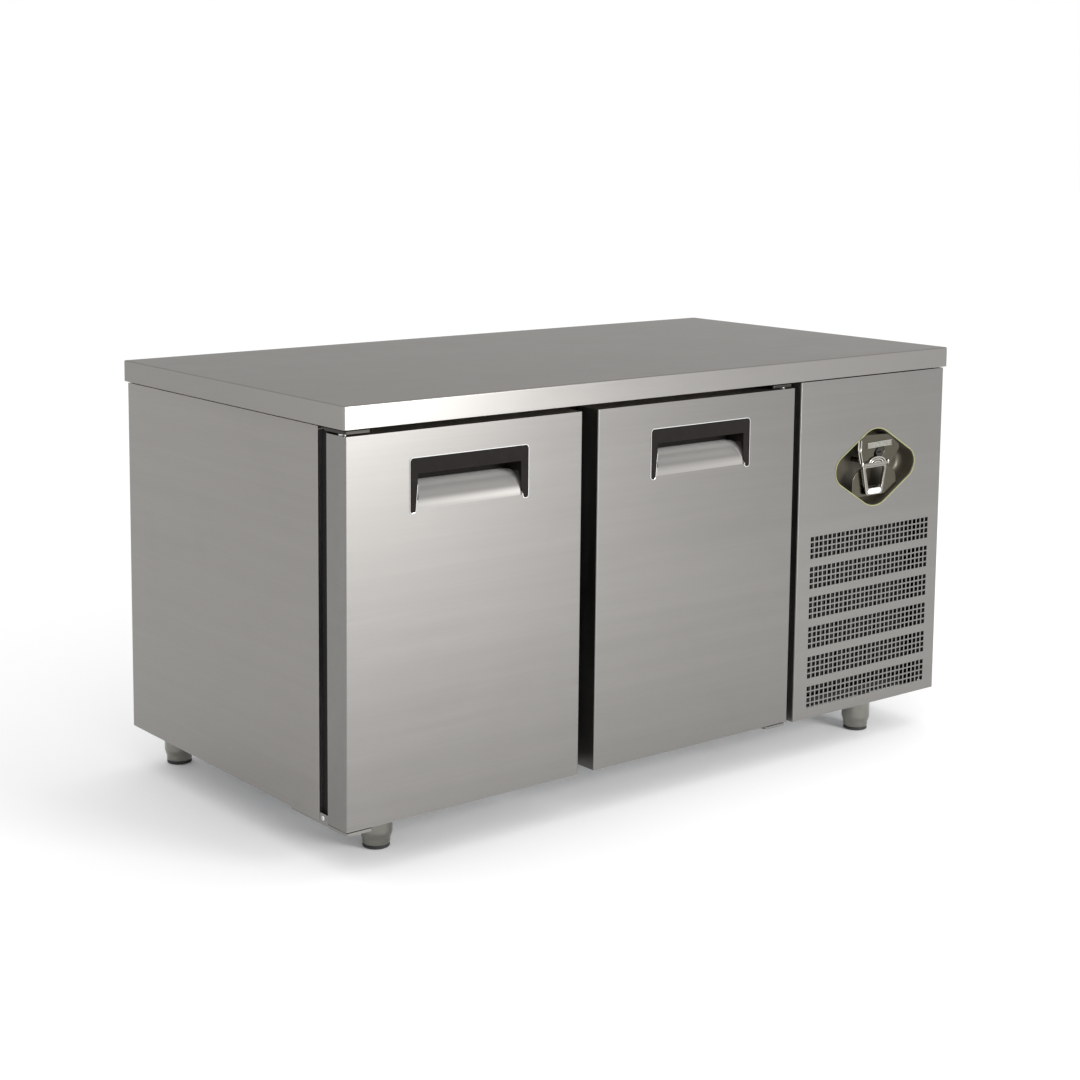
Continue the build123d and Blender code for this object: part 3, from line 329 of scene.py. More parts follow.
def moulded(name, colour, rough, grain=1800, depth=0.00003):
    """Moulded plastic: fine spark grain, pale dust in patches, rubbed edges."""
    surface = Surface(name, colour, rough, 0.0, Specular_IOR_Level=0.07)
    cells = surface.voronoi(grain)
    surface.paint(surface.remap(surface.noise(60, 4, 0.6), 0.4, 0.75, 0, 1), scale_tint(colour, 1.7), 0.35)
    surface.paint(surface.edges(0.0012), scale_tint(colour, 1.6), 0.4)
    surface.roughen(surface.noise(140, 4, 0.6), 0.18)
    surface.bump(cells, depth, 0.6)
    return surface.material


def polished(name, colour, rough, metal=1.0):
    """Plated metal: polishing swirls and fine dust."""
    surface = Surface(name, colour, rough, metal)
    surface.paint(surface.remap(surface.noise(90, 4, 0.6), 0.45, 0.8, 0, 1), scale_tint(colour, 0.78), 0.5)
    surface.roughen(surface.noise((400, 60, 400), 3, 0.6, 0.4), 0.07)
    surface.bump(surface.noise(45, 2, 0.5), 0.00004, 0.25)
    return surface.material


def rubber(name, colour):
    """Black rubber: pale bloom in patches, fine matt grain."""
    surface = Surface(name, colour, 0.72, 0.0)
    surface.paint(surface.remap(surface.noise(220, 5, 0.65), 0.45, 0.75, 0, 1), scale_tint(colour, 2.2), 0.4)
    surface.roughen(surface.noise(500, 3), 0.2)
    surface.bump(surface.noise(900, 3), 0.00004, 0.5)
    return surface.material


def zinc_sheet(name, colour):
    """Galvanised sheet with its spangle."""
    surface = Surface(name, colour, 0.42, 0.85)
    spangle = surface.voronoi(85)
    surface.paint(surface.remap(spangle, 0.1, 0.8, 0, 1), scale_tint(colour, 1.25), 0.45)
    surface.paint(surface.remap(surface.noise(3.5, 2, 0.5), 0.45, 0.7, 0, 1), scale_tint(colour, 0.85), 0.4)
    surface.roughen(spangle, 0.2)
    surface.bump(surface.noise(700, 3), 0.00003, 0.4)
    return surface.material


def enamel(name, colour):
    """Black enamelled metal, a little glossy, with rubbed edges."""
    surface = Surface(name, colour, 0.32, 0.0, Coat_Weight=0.25)
    surface.paint(surface.remap(surface.noise(40, 5, 0.6), 0.5, 0.8, 0, 1), scale_tint(colour, 2.0), 0.4)
    surface.paint(surface.edges(0.0012), (0.35, 0.34, 0.33), 0.25)
    surface.roughen(surface.noise(120, 4), 0.25)
    surface.bump(surface.noise(260, 3), 0.00006, 0.4)
    return surface.material


def foam(name, colour):
    """Rigid yellow foam with open cells and darker patches."""
    surface = Surface(name, colour, 0.9, 0.0)
    cells = surface.voronoi(700)
    surface.paint(surface.remap(surface.noise(30, 5, 0.6), 0.4, 0.7, 0, 1), scale_tint(colour, 0.75), 0.6)
    surface.bump(cells, 0.0004, 0.8)
    return surface.material


def board(name, colour):
    """Pressed board with fibres along X."""
    surface = Surface(name, colour, 0.8, 0.0)
    fibres = surface.noise((25, 260, 260), 5, 0.65)
    surface.paint(surface.remap(fibres, 0.4, 0.7, 0, 1), scale_tint(colour, 0.6), 0.7)
    surface.bump(surface.noise(500, 4), 0.0001, 0.6)
    return surface.material


def copper(name):
    """Drawn copper with dull brown patches."""
    surface = Surface(name, (0.66, 0.33, 0.20), 0.3, 1.0)
    surface.paint(surface.remap(surface.noise(35, 5, 0.65), 0.45, 0.75, 0, 1), (0.25, 0.11, 0.07), 0.6)
    surface.roughen(surface.noise(160, 4), 0.25)
    surface.bump(surface.noise(400, 3), 0.00003, 0.4)
    return surface.material


# One stainless steel, its base colour set per face to stand in for how the light falls: painted lighter on
# the side panels, painted darker on the door fronts and the worktop's top.
STEEL = (0.236, 0.229, 0.219)
STEEL_PAINTED_LIGHTER = (0.264, 0.254, 0.241)
DOOR_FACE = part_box("left_door_skin")[0].y
PANEL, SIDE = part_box("service_panel_skin"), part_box("right_side_panel")
# Painted shade inside the service panel and on the right side panel's front lip, seen through the vents.
PANEL_PAINTED_SHADE = painted_shade_in_skin(PANEL[0].x + 0.0006, PANEL[1].x - 0.0006, PANEL[0].y + 0.0004, 0.5)
SIDE_PAINTED_SHADE = painted_shade_in_skin(SIDE[0].x - 0.01, SIDE[1].x - 0.0008, SIDE[0].y - 0.01, SIDE[0].y + 0.060)
FINISH = {
    # Painted light and shade per face: door fronts and worktop top darker, side panels lighter, than the
    # service panel's steel.
    "brushed_x": brushed("brushed_steel_x", scale_tint(STEEL, 0.89), 0.36, "X"),
    "brushed_y": brushed("brushed_steel_y", STEEL_PAINTED_LIGHTER, 0.36, "Y"),
    "brushed_panel": brushed("brushed_steel_panel", STEEL, 0.36, "X", finish_off=PANEL_PAINTED_SHADE),
    "brushed_side": brushed("brushed_steel_side", STEEL_PAINTED_LIGHTER, 0.36, "Y", finish_off=SIDE_PAINTED_SHADE),
    "brushed_top": brushed("brushed_steel_top", (0.215, 0.207, 0.196), 0.33, "X", finish_off=painted_light_on_uprights,
                           Specular_Tint=(0.62, 0.61, 0.60, 1)),
    # The tongue's finish carries painted light and shade by depth.
    "tongue": brushed("brushed_steel_tongue", (0.245, 0.237, 0.225), 0.40, "X", finish_off=painted_light_and_shade_by_depth,
                      metal=0.4),
    "inner_x": brushed("inner_steel", (0.50, 0.50, 0.49), 0.38, "X"),
    "hinge": brushed("hinge_steel", (0.24, 0.235, 0.22), 0.42, "Y", 0.00004, 0.1),
    # The upper hinges, in the gap under the worktop, get a near-black copy of the hinge steel: painted shade.
    "upper_hinge": brushed("upper_hinge_steel_painted_shade", (0.05, 0.047, 0.043), 0.45, "Y", 0.00004, 0.1),
    "foot": polished("foot_steel", (0.25, 0.245, 0.22), 0.16),
    "wire": polished("shelf_wire", (0.62, 0.63, 0.64), 0.26),
    "bright": polished("bright_steel", (0.75, 0.75, 0.75), 0.16),
    "chrome": polished("latch_chrome", (0.45, 0.44, 0.40), 0.12),
    "dish": polished("dish_polished", (0.085, 0.075, 0.055), 0.38, 0.45),
    "latch": polished("latch_body", (0.108, 0.099, 0.076), 0.2),
    "loop": polished("latch_loop", (0.30, 0.29, 0.26), 0.13),
    "lock": polished("lock_face", (0.030, 0.027, 0.022), 0.3, 0.6),
    # The pull's near-white, half-diffuse finish stands for the bright reflection along the loop's foot:
    # painted highlight.
    "pull": polished("pull_face_painted_highlight", (0.90, 0.90, 0.90), 0.30, 0.5),
    # The coil fins get a near-black copy of the galvanised sheet so the vent holes read dark: painted shade.
    "fins": zinc_sheet("coil_fins", (0.10, 0.10, 0.10)),
    "zinc": zinc_sheet("galvanised", (0.34, 0.35, 0.36)),
    "zinc_dark": zinc_sheet("unit_base", (0.07, 0.07, 0.07)),
    "handle": moulded("handle_black", (0.0095, 0.0080, 0.0070), 0.6),
    "strip": moulded("black_strip", (0.012, 0.012, 0.012), 0.5),
    "control": moulded("control_plastic", (0.05, 0.05, 0.055), 0.5),
    "switch": moulded("switch_plastic", (0.015, 0.015, 0.015), 0.22, 2600, 0.00001),
    "fan": moulded("fan_plastic", (0.06, 0.06, 0.065), 0.45),
    "gasket": rubber("gasket_rubber", (0.03, 0.03, 0.03)),
    "mount": rubber("mount_rubber", (0.02, 0.02, 0.02)),
    "pad": rubber("foot_pad", (0.02, 0.02, 0.02)),
    "machine": enamel("machine_black", (0.012, 0.012, 0.012)),
    "seal": moulded("seal_plastic", (0.27, 0.28, 0.13), 0.4, 2200, 0.00001),
    "foam": foam("foam", (0.74, 0.66, 0.44)),
    "board": board("underlay", (0.42, 0.32, 0.21)),
    "copper": copper("copper"),
}
CARRIED = {
    "worktop_skin": "brushed_top", "worktop_core": "board", "top_spacer": "strip",
    "left_side_panel": "brushed_y", "right_side_panel": "brushed_side", "back_panel": "zinc",
    "bottom_pan": "zinc", "case_insulation": "foam", "cold_liner": "inner_x", "breaker_strips": "strip",
    "mullion_post": "inner_x", "divider_panel": "zinc", "upper_hinges": "upper_hinge",
    "lower_hinges": "hinge", "hinge_pins": "bright", "case_screws": "bright",
    "shelf_uprights": "inner_x", "shelf_clips": "hinge",
    "left_shelf": "wire", "right_shelf": "wire", "evaporator_cover": "inner_x", "evaporator_coil": "fins",
    "evaporator_fan_motor": "machine", "evaporator_fan_blade": "fan", "drip_tray": "inner_x",
    "unit_base": "zinc_dark", "compressor": "machine", "compressor_mounts": "mount", "condenser_coil": "fins",
    "fan_shroud": "zinc", "condenser_fan_motor": "machine", "condenser_fan_blade": "fan",
    "copper_pipes": "copper", "filter_drier": "copper", "control_box": "control", "rocker_switch": "switch",
    "cable_gland": "control", "foot_sleeves": "foot", "service_panel_skin": "brushed_panel",
    "latch_dish": "dish", "dish_seal": "seal", "latch_plate": "chrome", "pull_loop": "chrome",
    "lock_cylinder": "lock",
}
FEET = ("front_left", "front_right", "back_left", "back_right")
for name in FEET:
    CARRIED["foot_" + name] = "foot"
for side in ("left", "right"):
    for part, finish in (("skin", "brushed_x"), ("foam", "foam"), ("inner_panel", "inner_x"),
                         ("gasket", "gasket"), ("handle", "handle"), ("bushes", "bright")):
        CARRIED[f"{side}_door_{part}"] = finish
for name, finish in CARRIED.items():
    NODES[name].data.materials.clear()
    NODES[name].data.materials.append(FINISH[finish])

# ---------------------------------------------------------------- mesh helpers

MM = 0.001
SHARP_ANGLE = math.radians(38)


def add_piece(name, mesh, body, finish, replaced=()):
    """Links a finished mesh, gives it its finish, and lets it ride on its body."""
    piece = bpy.data.objects.new(name, mesh)
    bpy.context.scene.collection.objects.link(piece)
    mesh.materials.clear()
    mesh.materials.append(FINISH[finish])
    mesh.shade_smooth()
    mesh.set_sharp_from_angle(angle=SHARP_ANGLE)
    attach(piece, body)
    if replaced:
        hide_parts(*replaced)


def rounded(points, radii, steps=6):
    """Closed outline with each corner turned into an arc. radii is one number or one for each corner."""
    if not isinstance(radii, (list, tuple)):
        radii = [radii] * len(points)
    outline = []
    for i, radius in enumerate(radii):
        corner = Vector(points[i])
        before = (Vector(points[i - 1]) - corner).normalized()
        after = (Vector(points[(i + 1) % len(points)]) - corner).normalized()
        half = before.angle(after) / 2
        if radius <= 0 or half > 1.56:
            outline.append(tuple(corner))
            continue
        reach = radius / math.tan(half)
        start, end = corner + before * reach, corner + after * reach
        centre = corner + (before + after).normalized() * (radius / math.sin(half))
        a, b = start - centre, end - centre
        turn = a.angle_signed(b)
        for k in range(steps + 1):
            share = -turn * k / steps
            c, s = math.cos(share), math.sin(share)
            outline.append((centre.x + a.x * c - a.y * s, centre.y + a.x * s + a.y * c))
    return outline


def plate_mesh(outlines, y_front, thickness, bevel, segments=2):
    """Flat plate in the X-Z plane with rounded edges. The first outline is its edge, the rest are holes."""
    curve = bpy.data.curves.new("plate", "CURVE")
    curve.dimensions, curve.fill_mode = "2D", "BOTH"
    curve.extrude = thickness / 2 - bevel
    curve.bevel_depth, curve.bevel_resolution, curve.offset = bevel, segments, -bevel
    for outline in outlines:
        spline = curve.splines.new("POLY")
        spline.points.add(len(outline) - 1)
        for point, (x, z) in zip(spline.points, outline):
            point.co = (x, z, 0, 1)
        spline.use_cyclic_u = True
    holder = bpy.data.objects.new("plate", curve)
    mesh = bpy.data.meshes.new_from_object(holder)
    bpy.data.objects.remove(holder)
    bpy.data.curves.remove(curve)
    mesh.transform(Matrix.Translation((0, y_front + thickness / 2, 0)) @ Matrix.Rotation(math.pi / 2, 4, "X"))
    return mesh


def joined(meshes):
    """One mesh out of several."""
    combined = bmesh.new()
    for mesh in meshes:
        combined.from_mesh(mesh)
        bpy.data.meshes.remove(mesh)
    made = bpy.data.meshes.new("joined")
    combined.to_mesh(made)
    combined.free()
    return made


def grid_mesh(rows, closed_u=False, closed_v=False):
    """Quads between rows of points."""
    width, height = len(rows[0]), len(rows)
    points = [p for row in rows for p in row]
    faces = []
    for v in range(height if closed_v else height - 1):
        for u in range(width if closed_u else width - 1):
            a, b = v * width + u, v * width + (u + 1) % width
            w = (v + 1) % height
            faces.append((a, b, w * width + (u + 1) % width, w * width + u))
    mesh = bpy.data.meshes.new("grid")
    mesh.from_pydata([tuple(p) for p in points], [], faces)
    return mesh


def lathe(profile, centre, segments=64):
    """Turns (radius, z) points about a vertical axis through centre (x, y)."""
    rows = []
    for radius, z in profile:
        radius = max(radius, 0.00002)
        rows.append([(centre[0] + radius * math.cos(2 * math.pi * k / segments),
                      centre[1] + radius * math.sin(2 * math.pi * k / segments), z) for k in range(segments)])
    mesh = grid_mesh(rows, closed_u=True)
    fix_normals(mesh)
    return mesh


def fix_normals(mesh):
    """Merges doubled points and turns all the faces the same way."""
    work = bmesh.new()
    work.from_mesh(mesh)
    bmesh.ops.remove_doubles(work, verts=work.verts, dist=1e-6)
    bmesh.ops.recalc_face_normals(work, faces=work.faces)
    work.to_mesh(mesh)
    work.free()


def frame_sweep(profile, x, z):
    """Runs a closed (inward, y) profile round a rectangle with mitred corners."""
    rows = []
    for sx, sz in ((0, 0), (1, 0), (1, 1), (0, 1)):
        way_x, way_z = 1 - 2 * sx, 1 - 2 * sz
        rows.append([(x[sx] + way_x * inward, y, z[sz] + way_z * inward) for inward, y in profile])
    mesh = grid_mesh(rows, closed_u=True, closed_v=True)
    fix_normals(mesh)
    return mesh


def tube_mesh(points, radius, segments=12, closed=False):
    """Round bar through points, with shared rings at its bends."""
    points = [Vector(p) for p in points]
    rows = []
    side = None
    count = len(points)
    for i, point in enumerate(points):
        before = points[i - 1] if (i or closed) else point
        after = points[(i + 1) % count] if (i < count - 1 or closed) else point
        along = (after - before).normalized()
        if side is None:
            side = along.orthogonal().normalized()
        side = (side - along * side.dot(along)).normalized()
        other = along.cross(side)
        turns = [2 * math.pi * k / segments for k in range(segments)]
        rows.append([point + (side * math.cos(a) + other * math.sin(a)) * radius for a in turns])
    mesh = grid_mesh(rows, closed_u=True, closed_v=closed)
    if not closed:
        work = bmesh.new()
        work.from_mesh(mesh)
        work.verts.ensure_lookup_table()
        work.faces.new(work.verts[:segments])
        work.faces.new(list(reversed(work.verts[-segments:])))
        work.to_mesh(mesh)
        work.free()
    fix_normals(mesh)
    return mesh


# ---------------------------------------------------------------- door grips

LEG_TOP, LEG_TIP, BAND = 0.017, 0.012, 0.028
TONGUE_BASE, TONGUE_DROP, GRIP_DEPTH = 0.006, 0.018, 0.046
BAND_SHEET, BAND_PROUD = 0.003, 0.0008


def tongue_points(bottom, top, steps=36):
    """(depth, z) of the steel tongue: flush at its foot, rolled over at its end."""
    low, high = bottom + TONGUE_BASE, top - BAND - TONGUE_DROP
    turns = [math.pi / 2 * i / steps for i in range(steps + 1)]
    return [(GRIP_DEPTH * (1 - math.cos(a)), low + (high - low) * math.sin(a)) for a in turns]


def grip_tray(left, right, bottom, top):
    """Steel tongue with side walls that climb forward and end on a slanting edge."""
    inner_left, inner_right = left + LEG_TOP, right - LEG_TOP
    rows = []
    lift = 0.00012
    for depth, z in tongue_points(bottom, top):
        floor = DOOR_FACE + depth - lift
        wall = max(0.0, depth - 0.014 * min(1.0, max(0.0, (z - bottom - 0.030) / 0.036)))
        turn = min(0.012, wall)
        side = [(inner_left + 0.0002, floor - wall)]
        arc = [(inner_left + 0.0002 + turn * (1 - math.cos(a)), floor - turn * (1 - math.sin(a)))
               for a in (k * math.pi / 16 for k in range(9))]
        half = side + arc
        mirrored = [(inner_left + inner_right - x, y) for x, y in reversed(half)]
        reach = 0.0030 if depth < 0.003 else 0.0
        half[0] = (half[0][0] - reach, half[0][1])
        rows.append([(x, y, z) for x, y in half + mirrored])
    mesh = grid_mesh(rows)
    fix_normals(mesh)
    return mesh


def grip_frame(left, right, bottom, top):
    """Black moulding: face plate with soft edges, pocket walls, roof and back."""
    outline = [(left, top), (right, top), (right, bottom), (right - LEG_TIP, bottom),
               (right - LEG_TIP - 0.0006, bottom + 0.008), (right - LEG_TOP, bottom + 0.018),
               (right - LEG_TOP, top - BAND), (left + LEG_TOP, top - BAND), (left + LEG_TIP, bottom),
               (left, bottom)]
    radii = [0.007, 0.007, 0.005, 0.005, 0, 0, 0.001, 0.001, 0.005, 0.005]
    front = DOOR_FACE - BAND_PROUD
    face = plate_mesh([rounded(outline, radii)], front, BAND_SHEET, 0.0009, 3)
    inner_left, inner_right = left + LEG_TOP - 0.0004, right - LEG_TOP + 0.0004
    parts = [face]
    back, roof = DOOR_FACE + GRIP_DEPTH, top - 0.004
    end_z = tongue_points(bottom, top)[-1][1] - 0.001
    for x in (inner_left, inner_right):
        rows = [[(x, front + 0.001, z), (x, DOOR_FACE + depth + 0.001, z)]
                for depth, z in tongue_points(bottom, top)]
        rows.append([(x, front + 0.001, roof), (x, back, roof)])
        parts.append(grid_mesh(rows))
    parts.append(grid_mesh([[(inner_left, back, end_z), (inner_right, back, end_z)],
                            [(inner_left, back, roof), (inner_right, back, roof)]]))
    parts.append(grid_mesh([[(inner_left, front + 0.001, roof), (inner_right, front + 0.001, roof)],
                            [(inner_left, back, roof), (inner_right, back, roof)]]))
    for rib in range(1, 4):
        x = inner_left + rib * (inner_right - inner_left) / 4
        parts.append(grid_mesh([[(x, front + 0.002, roof), (x, back, roof)],
                                [(x, front + 0.002, roof - 0.007), (x, back, roof - 0.007)]]))
    return joined(parts)


def grip_seam(left, right, bottom, top):
    """Fine bright bead where the moulding meets the skin, from one leg's inner side round to the other's."""
    inner = top - BAND - TONGUE_DROP
    outline = [(left + LEG_TOP - 0.001, inner), (left + LEG_TIP, bottom), (left, bottom), (left, top),
               (right, top), (right, bottom), (right - LEG_TIP, bottom),
               (right - LEG_TIP - 0.0006, bottom + 0.008)]
    ring = rounded(outline, [0, 0.0052, 0.0052, 0.007, 0.007, 0.0052, 0.0052, 0])
    return tube_mesh([(x, DOOR_FACE - 0.0002, z) for x, z in ring], 0.0009, 8)


for side in ("left", "right"):
    low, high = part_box(f"{side}_door_handle")
    span = (low.x, high.x, low.z, high.z)
    add_piece(f"{side}_grip_frame", grip_frame(*span), f"{side}_door", "handle",
              [f"{side}_door_handle"])
    add_piece(f"{side}_grip_tray", grip_tray(*span), f"{side}_door", "tongue")
    add_piece(f"{side}_grip_seam", grip_seam(*span), f"{side}_door", "bright")


# ---------------------------------------------------------------- door gaskets

def gasket_mesh(side):
    """Dart base, two bellows folds and a rounded magnet bead."""
    low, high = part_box(f"{side}_door_gasket")
    base, tip = low.y, high.y
    mm = [(0, 0), (0, 1.6), (1.8, 3.6), (0.6, 5.4), (2.2, 6.8), (1.4, 8.6), (1.8, 10.6), (3.6, 11.6),
          (12.4, 11.6), (14.2, 10.6), (14.6, 8.6), (13.8, 6.8), (15.4, 5.4), (14.2, 3.6), (16, 1.6), (16, 0)]
    stretch = (tip - base) / (11.6 * MM)
    profile = [(inward * MM, base + y * MM * stretch) for inward, y in mm]
    return frame_sweep(profile, (low.x, high.x), (low.z, high.z))


for side in ("left", "right"):
    add_piece(f"{side}_gasket_bellows", gasket_mesh(side), f"{side}_door", "gasket",
              [f"{side}_door_gasket"])


# ---------------------------------------------------------------- feet

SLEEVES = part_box("foot_sleeves")
SLEEVE_WALL = 0.0035


def foot_centre(node):
    low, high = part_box(node)
    return (low.x + high.x) / 2, (low.y + high.y) / 2


def foot_parts(node, body):
    """Screwed foot: a barrel rounded under its rim, on a rubber pad."""
    low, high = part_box(node)
    centre, r = foot_centre(node), (high.x - low.x) / 2
    z = low.z
    barrel = lathe([(0, z + 0.006), (r - 0.0035, z + 0.006), (r - 0.0012, z + 0.0068),
                    (r - 0.0003, z + 0.0086), (r, z + 0.011), (r, high.z - 0.002), (r - 0.002, high.z),
                    (0, high.z)], centre)
    pad = lathe([(0, z), (r - 0.0028, z), (r - 0.0012, z + 0.0008), (r - 0.0008, z + 0.0022),
                 (r - 0.0010, z + 0.0055), (r - 0.0022, z + 0.0066), (0, z + 0.0066)], centre)
    add_piece(node + "_barrel", barrel, body, "foot", [node])
    add_piece(node + "_pad", pad, body, "pad")


def sleeve_shell(node):
    """Fixed sleeve, tapered and rolled in at its lower end, with a fine rim at its top."""
    r = foot_centre("foot_back_left")[0] - SLEEVES[0].x
    z, top = SLEEVES[0].z, SLEEVES[1].z
    bore, side = r - SLEEVE_WALL, r - 0.0002
    return lathe([(bore, top - 0.002), (bore, z + 0.0002), (bore + 0.0004, z), (bore + 0.0009, z + 0.0005),
                  (r - 0.0021, z + 0.0042), (r - 0.0008, z + 0.0068), (side, z + 0.0100),
                  (side, z + 0.0130), (side, top - 0.0012), (r, top - 0.0004), (r, top)], foot_centre(node))


for name in FEET:
    foot_parts("foot_" + name, name + "_foot")
add_piece("foot_sleeve_shells", joined([sleeve_shell("foot_" + name) for name in FEET]), "case", "foot",
          ["foot_sleeves"])


# ---------------------------------------------------------------- black strip behind the service panel's vents, partly painted shade

def baffle_strip(low, high):
    """Foam strip with pinched long sides and softly rounded edges, between two opposite corners."""
    middle_x, middle_y = (low.x + high.x) / 2, (low.y + high.y) / 2
    pinch = 0.0012
    section = [(low.x, low.y), (middle_x, low.y + pinch), (high.x, low.y), (high.x - pinch, middle_y),
               (high.x, high.y), (middle_x, high.y - pinch), (low.x, high.y), (low.x + pinch, middle_y)]
    mesh = grid_mesh([[(x, y, z) for x, y in section + section[:1]] for z in (low.z, high.z)])
    shell = bmesh.new()
    shell.from_mesh(mesh)
    bmesh.ops.remove_doubles(shell, verts=shell.verts, dist=0.0001)
    bmesh.ops.holes_fill(shell, edges=[edge for edge in shell.edges if edge.is_boundary])
    corners = [edge for edge in shell.edges if edge.calc_face_angle(0) > 0.8]
    bmesh.ops.bevel(shell, geom=corners, offset=0.002, segments=3, affect="EDGES", profile=0.5)
    shell.to_mesh(mesh)
    shell.free()
    fix_normals(mesh)
    return mesh


# A black strip behind the right vent columns: it blocks the light there, and its black is painted shade so
# the columns read dark.
BAFFLE_LOW = Vector((PANEL[1].x - 0.032, PANEL[0].y + 0.0014, PANEL[0].z + 0.018))
BAFFLE_HIGH = Vector((PANEL[1].x - 0.003, PANEL[0].y + 0.0290, PANEL[0].z + 0.400))
add_piece("panel_shade_strip", baffle_strip(BAFFLE_LOW, BAFFLE_HIGH), "service_panel", "mount")


# ---------------------------------------------------------------- latch

DISH_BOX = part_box("latch_dish")
DISH = ((DISH_BOX[0].x + DISH_BOX[1].x) / 2, (DISH_BOX[0].z + DISH_BOX[1].z) / 2)
DISH_HALF_W, DISH_HALF_H, DISH_ROUND_SIDE, DISH_ROUND_TOP = 0.148, 0.089, 0.032, 0.060


def lozenge(shrink, steps=10):
    """Rounded lozenge about the dish's centre, smaller by shrink."""
    slant = math.atan2(DISH_HALF_H, DISH_HALF_W)
    half_w = DISH_HALF_W - shrink / math.sin(slant)
    half_h = DISH_HALF_H - shrink / math.cos(slant)
    x, z = DISH
    corners = [(x - half_w, z), (x, z + half_h), (x + half_w, z), (x, z - half_h)]
    small, large = max(0.006, DISH_ROUND_SIDE - shrink), max(0.010, DISH_ROUND_TOP - shrink)
    return rounded(corners, [small, large, small, large], steps)


def dish_bowl():
    """Drawn cup: rolled lip, steep wall, wide fillet, flat bottom."""
    profile = [(-0.0060, 0.0014), (0.0002, 0.0014), (0.0006, 0.0006), (0.0012, 0.0009), (0.0016, 0.0030),
               (0.0020, 0.0180), (0.0032, 0.0262), (0.0062, 0.0328), (0.0110, 0.0362), (0.0170, 0.0370)]
    rows = [[(x, DOOR_FACE + depth, z) for x, z in lozenge(shrink)] for shrink, depth in profile]
    mesh = grid_mesh(rows, closed_u=True)
    work = bmesh.new()
    work.from_mesh(mesh)
    work.verts.ensure_lookup_table()
    count = len(rows[0])
    work.faces.new(work.verts[-count:])
    work.to_mesh(mesh)
    work.free()
    fix_normals(mesh)
    return mesh


def around_dish(points):
    """Turns millimetres from the dish's centre into metres in the frame."""
    return [(DISH[0] + x * MM, DISH[1] + z * MM) for x, z in points]


def oval(x, z, half_w, half_h, tilt, steps=28):
    """Tilted ellipse, in millimetres from the dish's centre."""
    c, s = math.cos(tilt), math.sin(tilt)
    ring = [(half_w * math.cos(2 * math.pi * k / steps), half_h * math.sin(2 * math.pi * k / steps))
            for k in range(steps)]
    return around_dish([(x + a * c - b * s, z + a * s + b * c) for a, b in ring])


def latch_body():
    """Flared upper plate with a keyhole, tombstone plate with a window below it, posts."""
    face = DOOR_FACE
    x, z = DISH
    flare = around_dish([(-47, 14), (-47, 52), (-31, 67), (43, 64), (79, 36), (57, 12), (42, 3), (36, 10)])
    parts = [plate_mesh([rounded(flare, [0.003, 0.004, 0.006, 0.012, 0.009, 0.012, 0.004, 0.003]),
                         oval(14, 29, 17, 10.5, math.radians(24))], face + 0.0035, 0.0026, 0.0008, 3)]
    tomb = around_dish([(-60, -60), (-60, -2), (72, -2), (72, -60)])
    window = around_dish([(-21, -3), (33, -3), (26, -40), (-13, -40)])
    parts.append(plate_mesh([rounded(tomb, [0.003, 0.032, 0.032, 0.003], 12), rounded(window, 0.004)],
                            face + 0.0075, 0.0026, 0.0008, 3))
    for dx in (-0.030, 0.030):
        post = [(x + dx, face + 0.005, z + 0.014), (x + dx, face + 0.0365, z + 0.014)]
        parts.append(tube_mesh(post, 0.005, 20))
    return joined(parts)


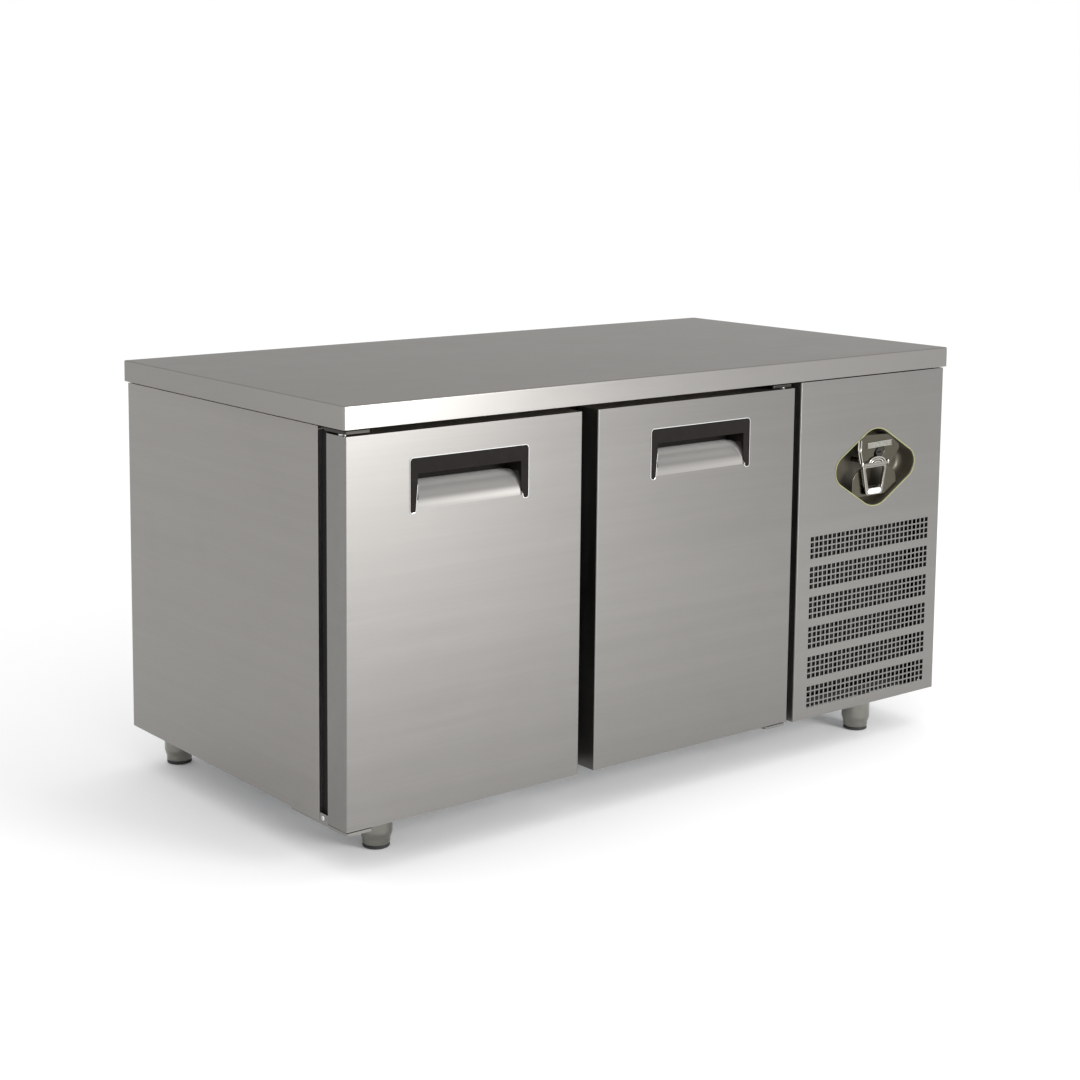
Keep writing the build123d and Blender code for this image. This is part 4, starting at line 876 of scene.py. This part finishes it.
def latch_trim():
    """Chromed parts on the latch plate: folded tongue on the left, ribbed bar, hump over the hinge."""
    face = DOOR_FACE
    x, z = DISH
    fold = ((-50, 57), (-50.5, 42), (-50, 37), (-48, 34.5), (-45.5, 34.5), (-43.5, 37), (-43, 42),
            (-42.5, 57))
    parts = [tube_mesh([(x + dx * MM, face + 0.0022, z + dz * MM) for dx, dz in fold], 0.0021, 14)]
    for top_x, low_x in ((-49, -43), (-42, -36.5)):
        rod = [(x + top_x * MM, face + 0.0030, z + 0.034), (x + low_x * MM, face + 0.0022, z + 0.010)]
        parts.append(tube_mesh(rod, 0.0011, 10))
    for row in range(5):
        rise = z + 0.0395 + row * 0.0024
        sag = 0.0004 * (row % 2)
        rib = [(x - 0.023 + sag, face + 0.0032, rise), (x + 0.006, face + 0.0030, rise + 0.0004),
               (x + 0.014, face + 0.0026, rise + 0.0012), (x + 0.050 - sag * 6, face + 0.0030, rise + 0.0016)]
        parts.append(tube_mesh(rib, 0.0013, 10))
    for radius, centre_z in ((24, 7), (18, 6), (11, 5)):
        arch = []
        for k in range(17):
            a = math.pi * k / 16
            arch.append((x + (6 - radius * math.cos(a)) * MM, face + 0.0016 - 0.0010 * math.sin(a),
                         z + (centre_z + radius * 0.52 * math.sin(a)) * MM))
        parts.append(tube_mesh(arch, 0.0019, 12))
    for dx in (-37, 39):
        knuckle = lathe([(0, 0), (0.0026, 0.0006), (0.0034, 0.0030), (0.0034, 0.0060), (0.0026, 0.0084),
                         (0, 0.0090)], (x + dx * MM, face + 0.0022), 20)
        knuckle.transform(Matrix.Translation((0, 0, z + 0.0025)))
        parts.append(knuckle)
    return joined(parts)


def loop_ring():
    """Tapered loop with a barrel at its hinge."""
    face = DOOR_FACE
    x, z = DISH
    outline = around_dish([(-39, 4), (34, 4), (22, -57), (-26, -57)])
    window = around_dish([(-30, -1), (28, -1), (18.5, -42), (-20, -42)])
    parts = [plate_mesh([rounded(outline, [0.004, 0.004, 0.006, 0.006]), rounded(window, 0.003)],
                        face - 0.0010, 0.0042, 0.0016, 4)]
    parts.append(tube_mesh([(x - 0.036, face + 0.0015, z + 0.006), (x + 0.036, face + 0.0015, z + 0.006)],
                           0.0036, 18))
    return joined(parts)


def loop_pull():
    """Broad rounded pull across the foot of the loop."""
    x, z = DISH
    rows = []
    for k in range(13):
        share = k / 12
        rise = 0.0010 * math.sin(math.pi * share) ** 0.6
        half = 0.0200 - 0.0012 * (2 * share - 1) ** 4
        row = []
        for m in range(9):
            across = m / 4 - 1
            sink = 0.0010 * across ** 8
            row.append((x - 0.0020 + half * across + 0.0012 * (share - 0.5), DOOR_FACE - 0.0010 - rise + sink,
                        z - 0.0545 + 0.0110 * share))
        rows.append(row)
    mesh = grid_mesh(rows)
    fix_normals(mesh)
    return mesh


def seal_bead():
    """Fine bead round the dish's edge."""
    outline = [(x, DOOR_FACE - 0.0003, z) for x, z in lozenge(-0.0004, 14)]
    return tube_mesh(outline, 0.00085, 8, closed=True)


add_piece("latch_bowl", dish_bowl(), "service_panel", "dish", ["latch_dish"])
add_piece("latch_body", latch_body(), "service_panel", "latch", ["latch_plate"])
add_piece("latch_trim", latch_trim(), "service_panel", "chrome")
add_piece("latch_loop", loop_ring(), "pull_loop", "loop", ["pull_loop"])
add_piece("latch_pull", loop_pull(), "pull_loop", "pull")
add_piece("latch_seal", seal_bead(), "service_panel", "seal", ["dish_seal"])
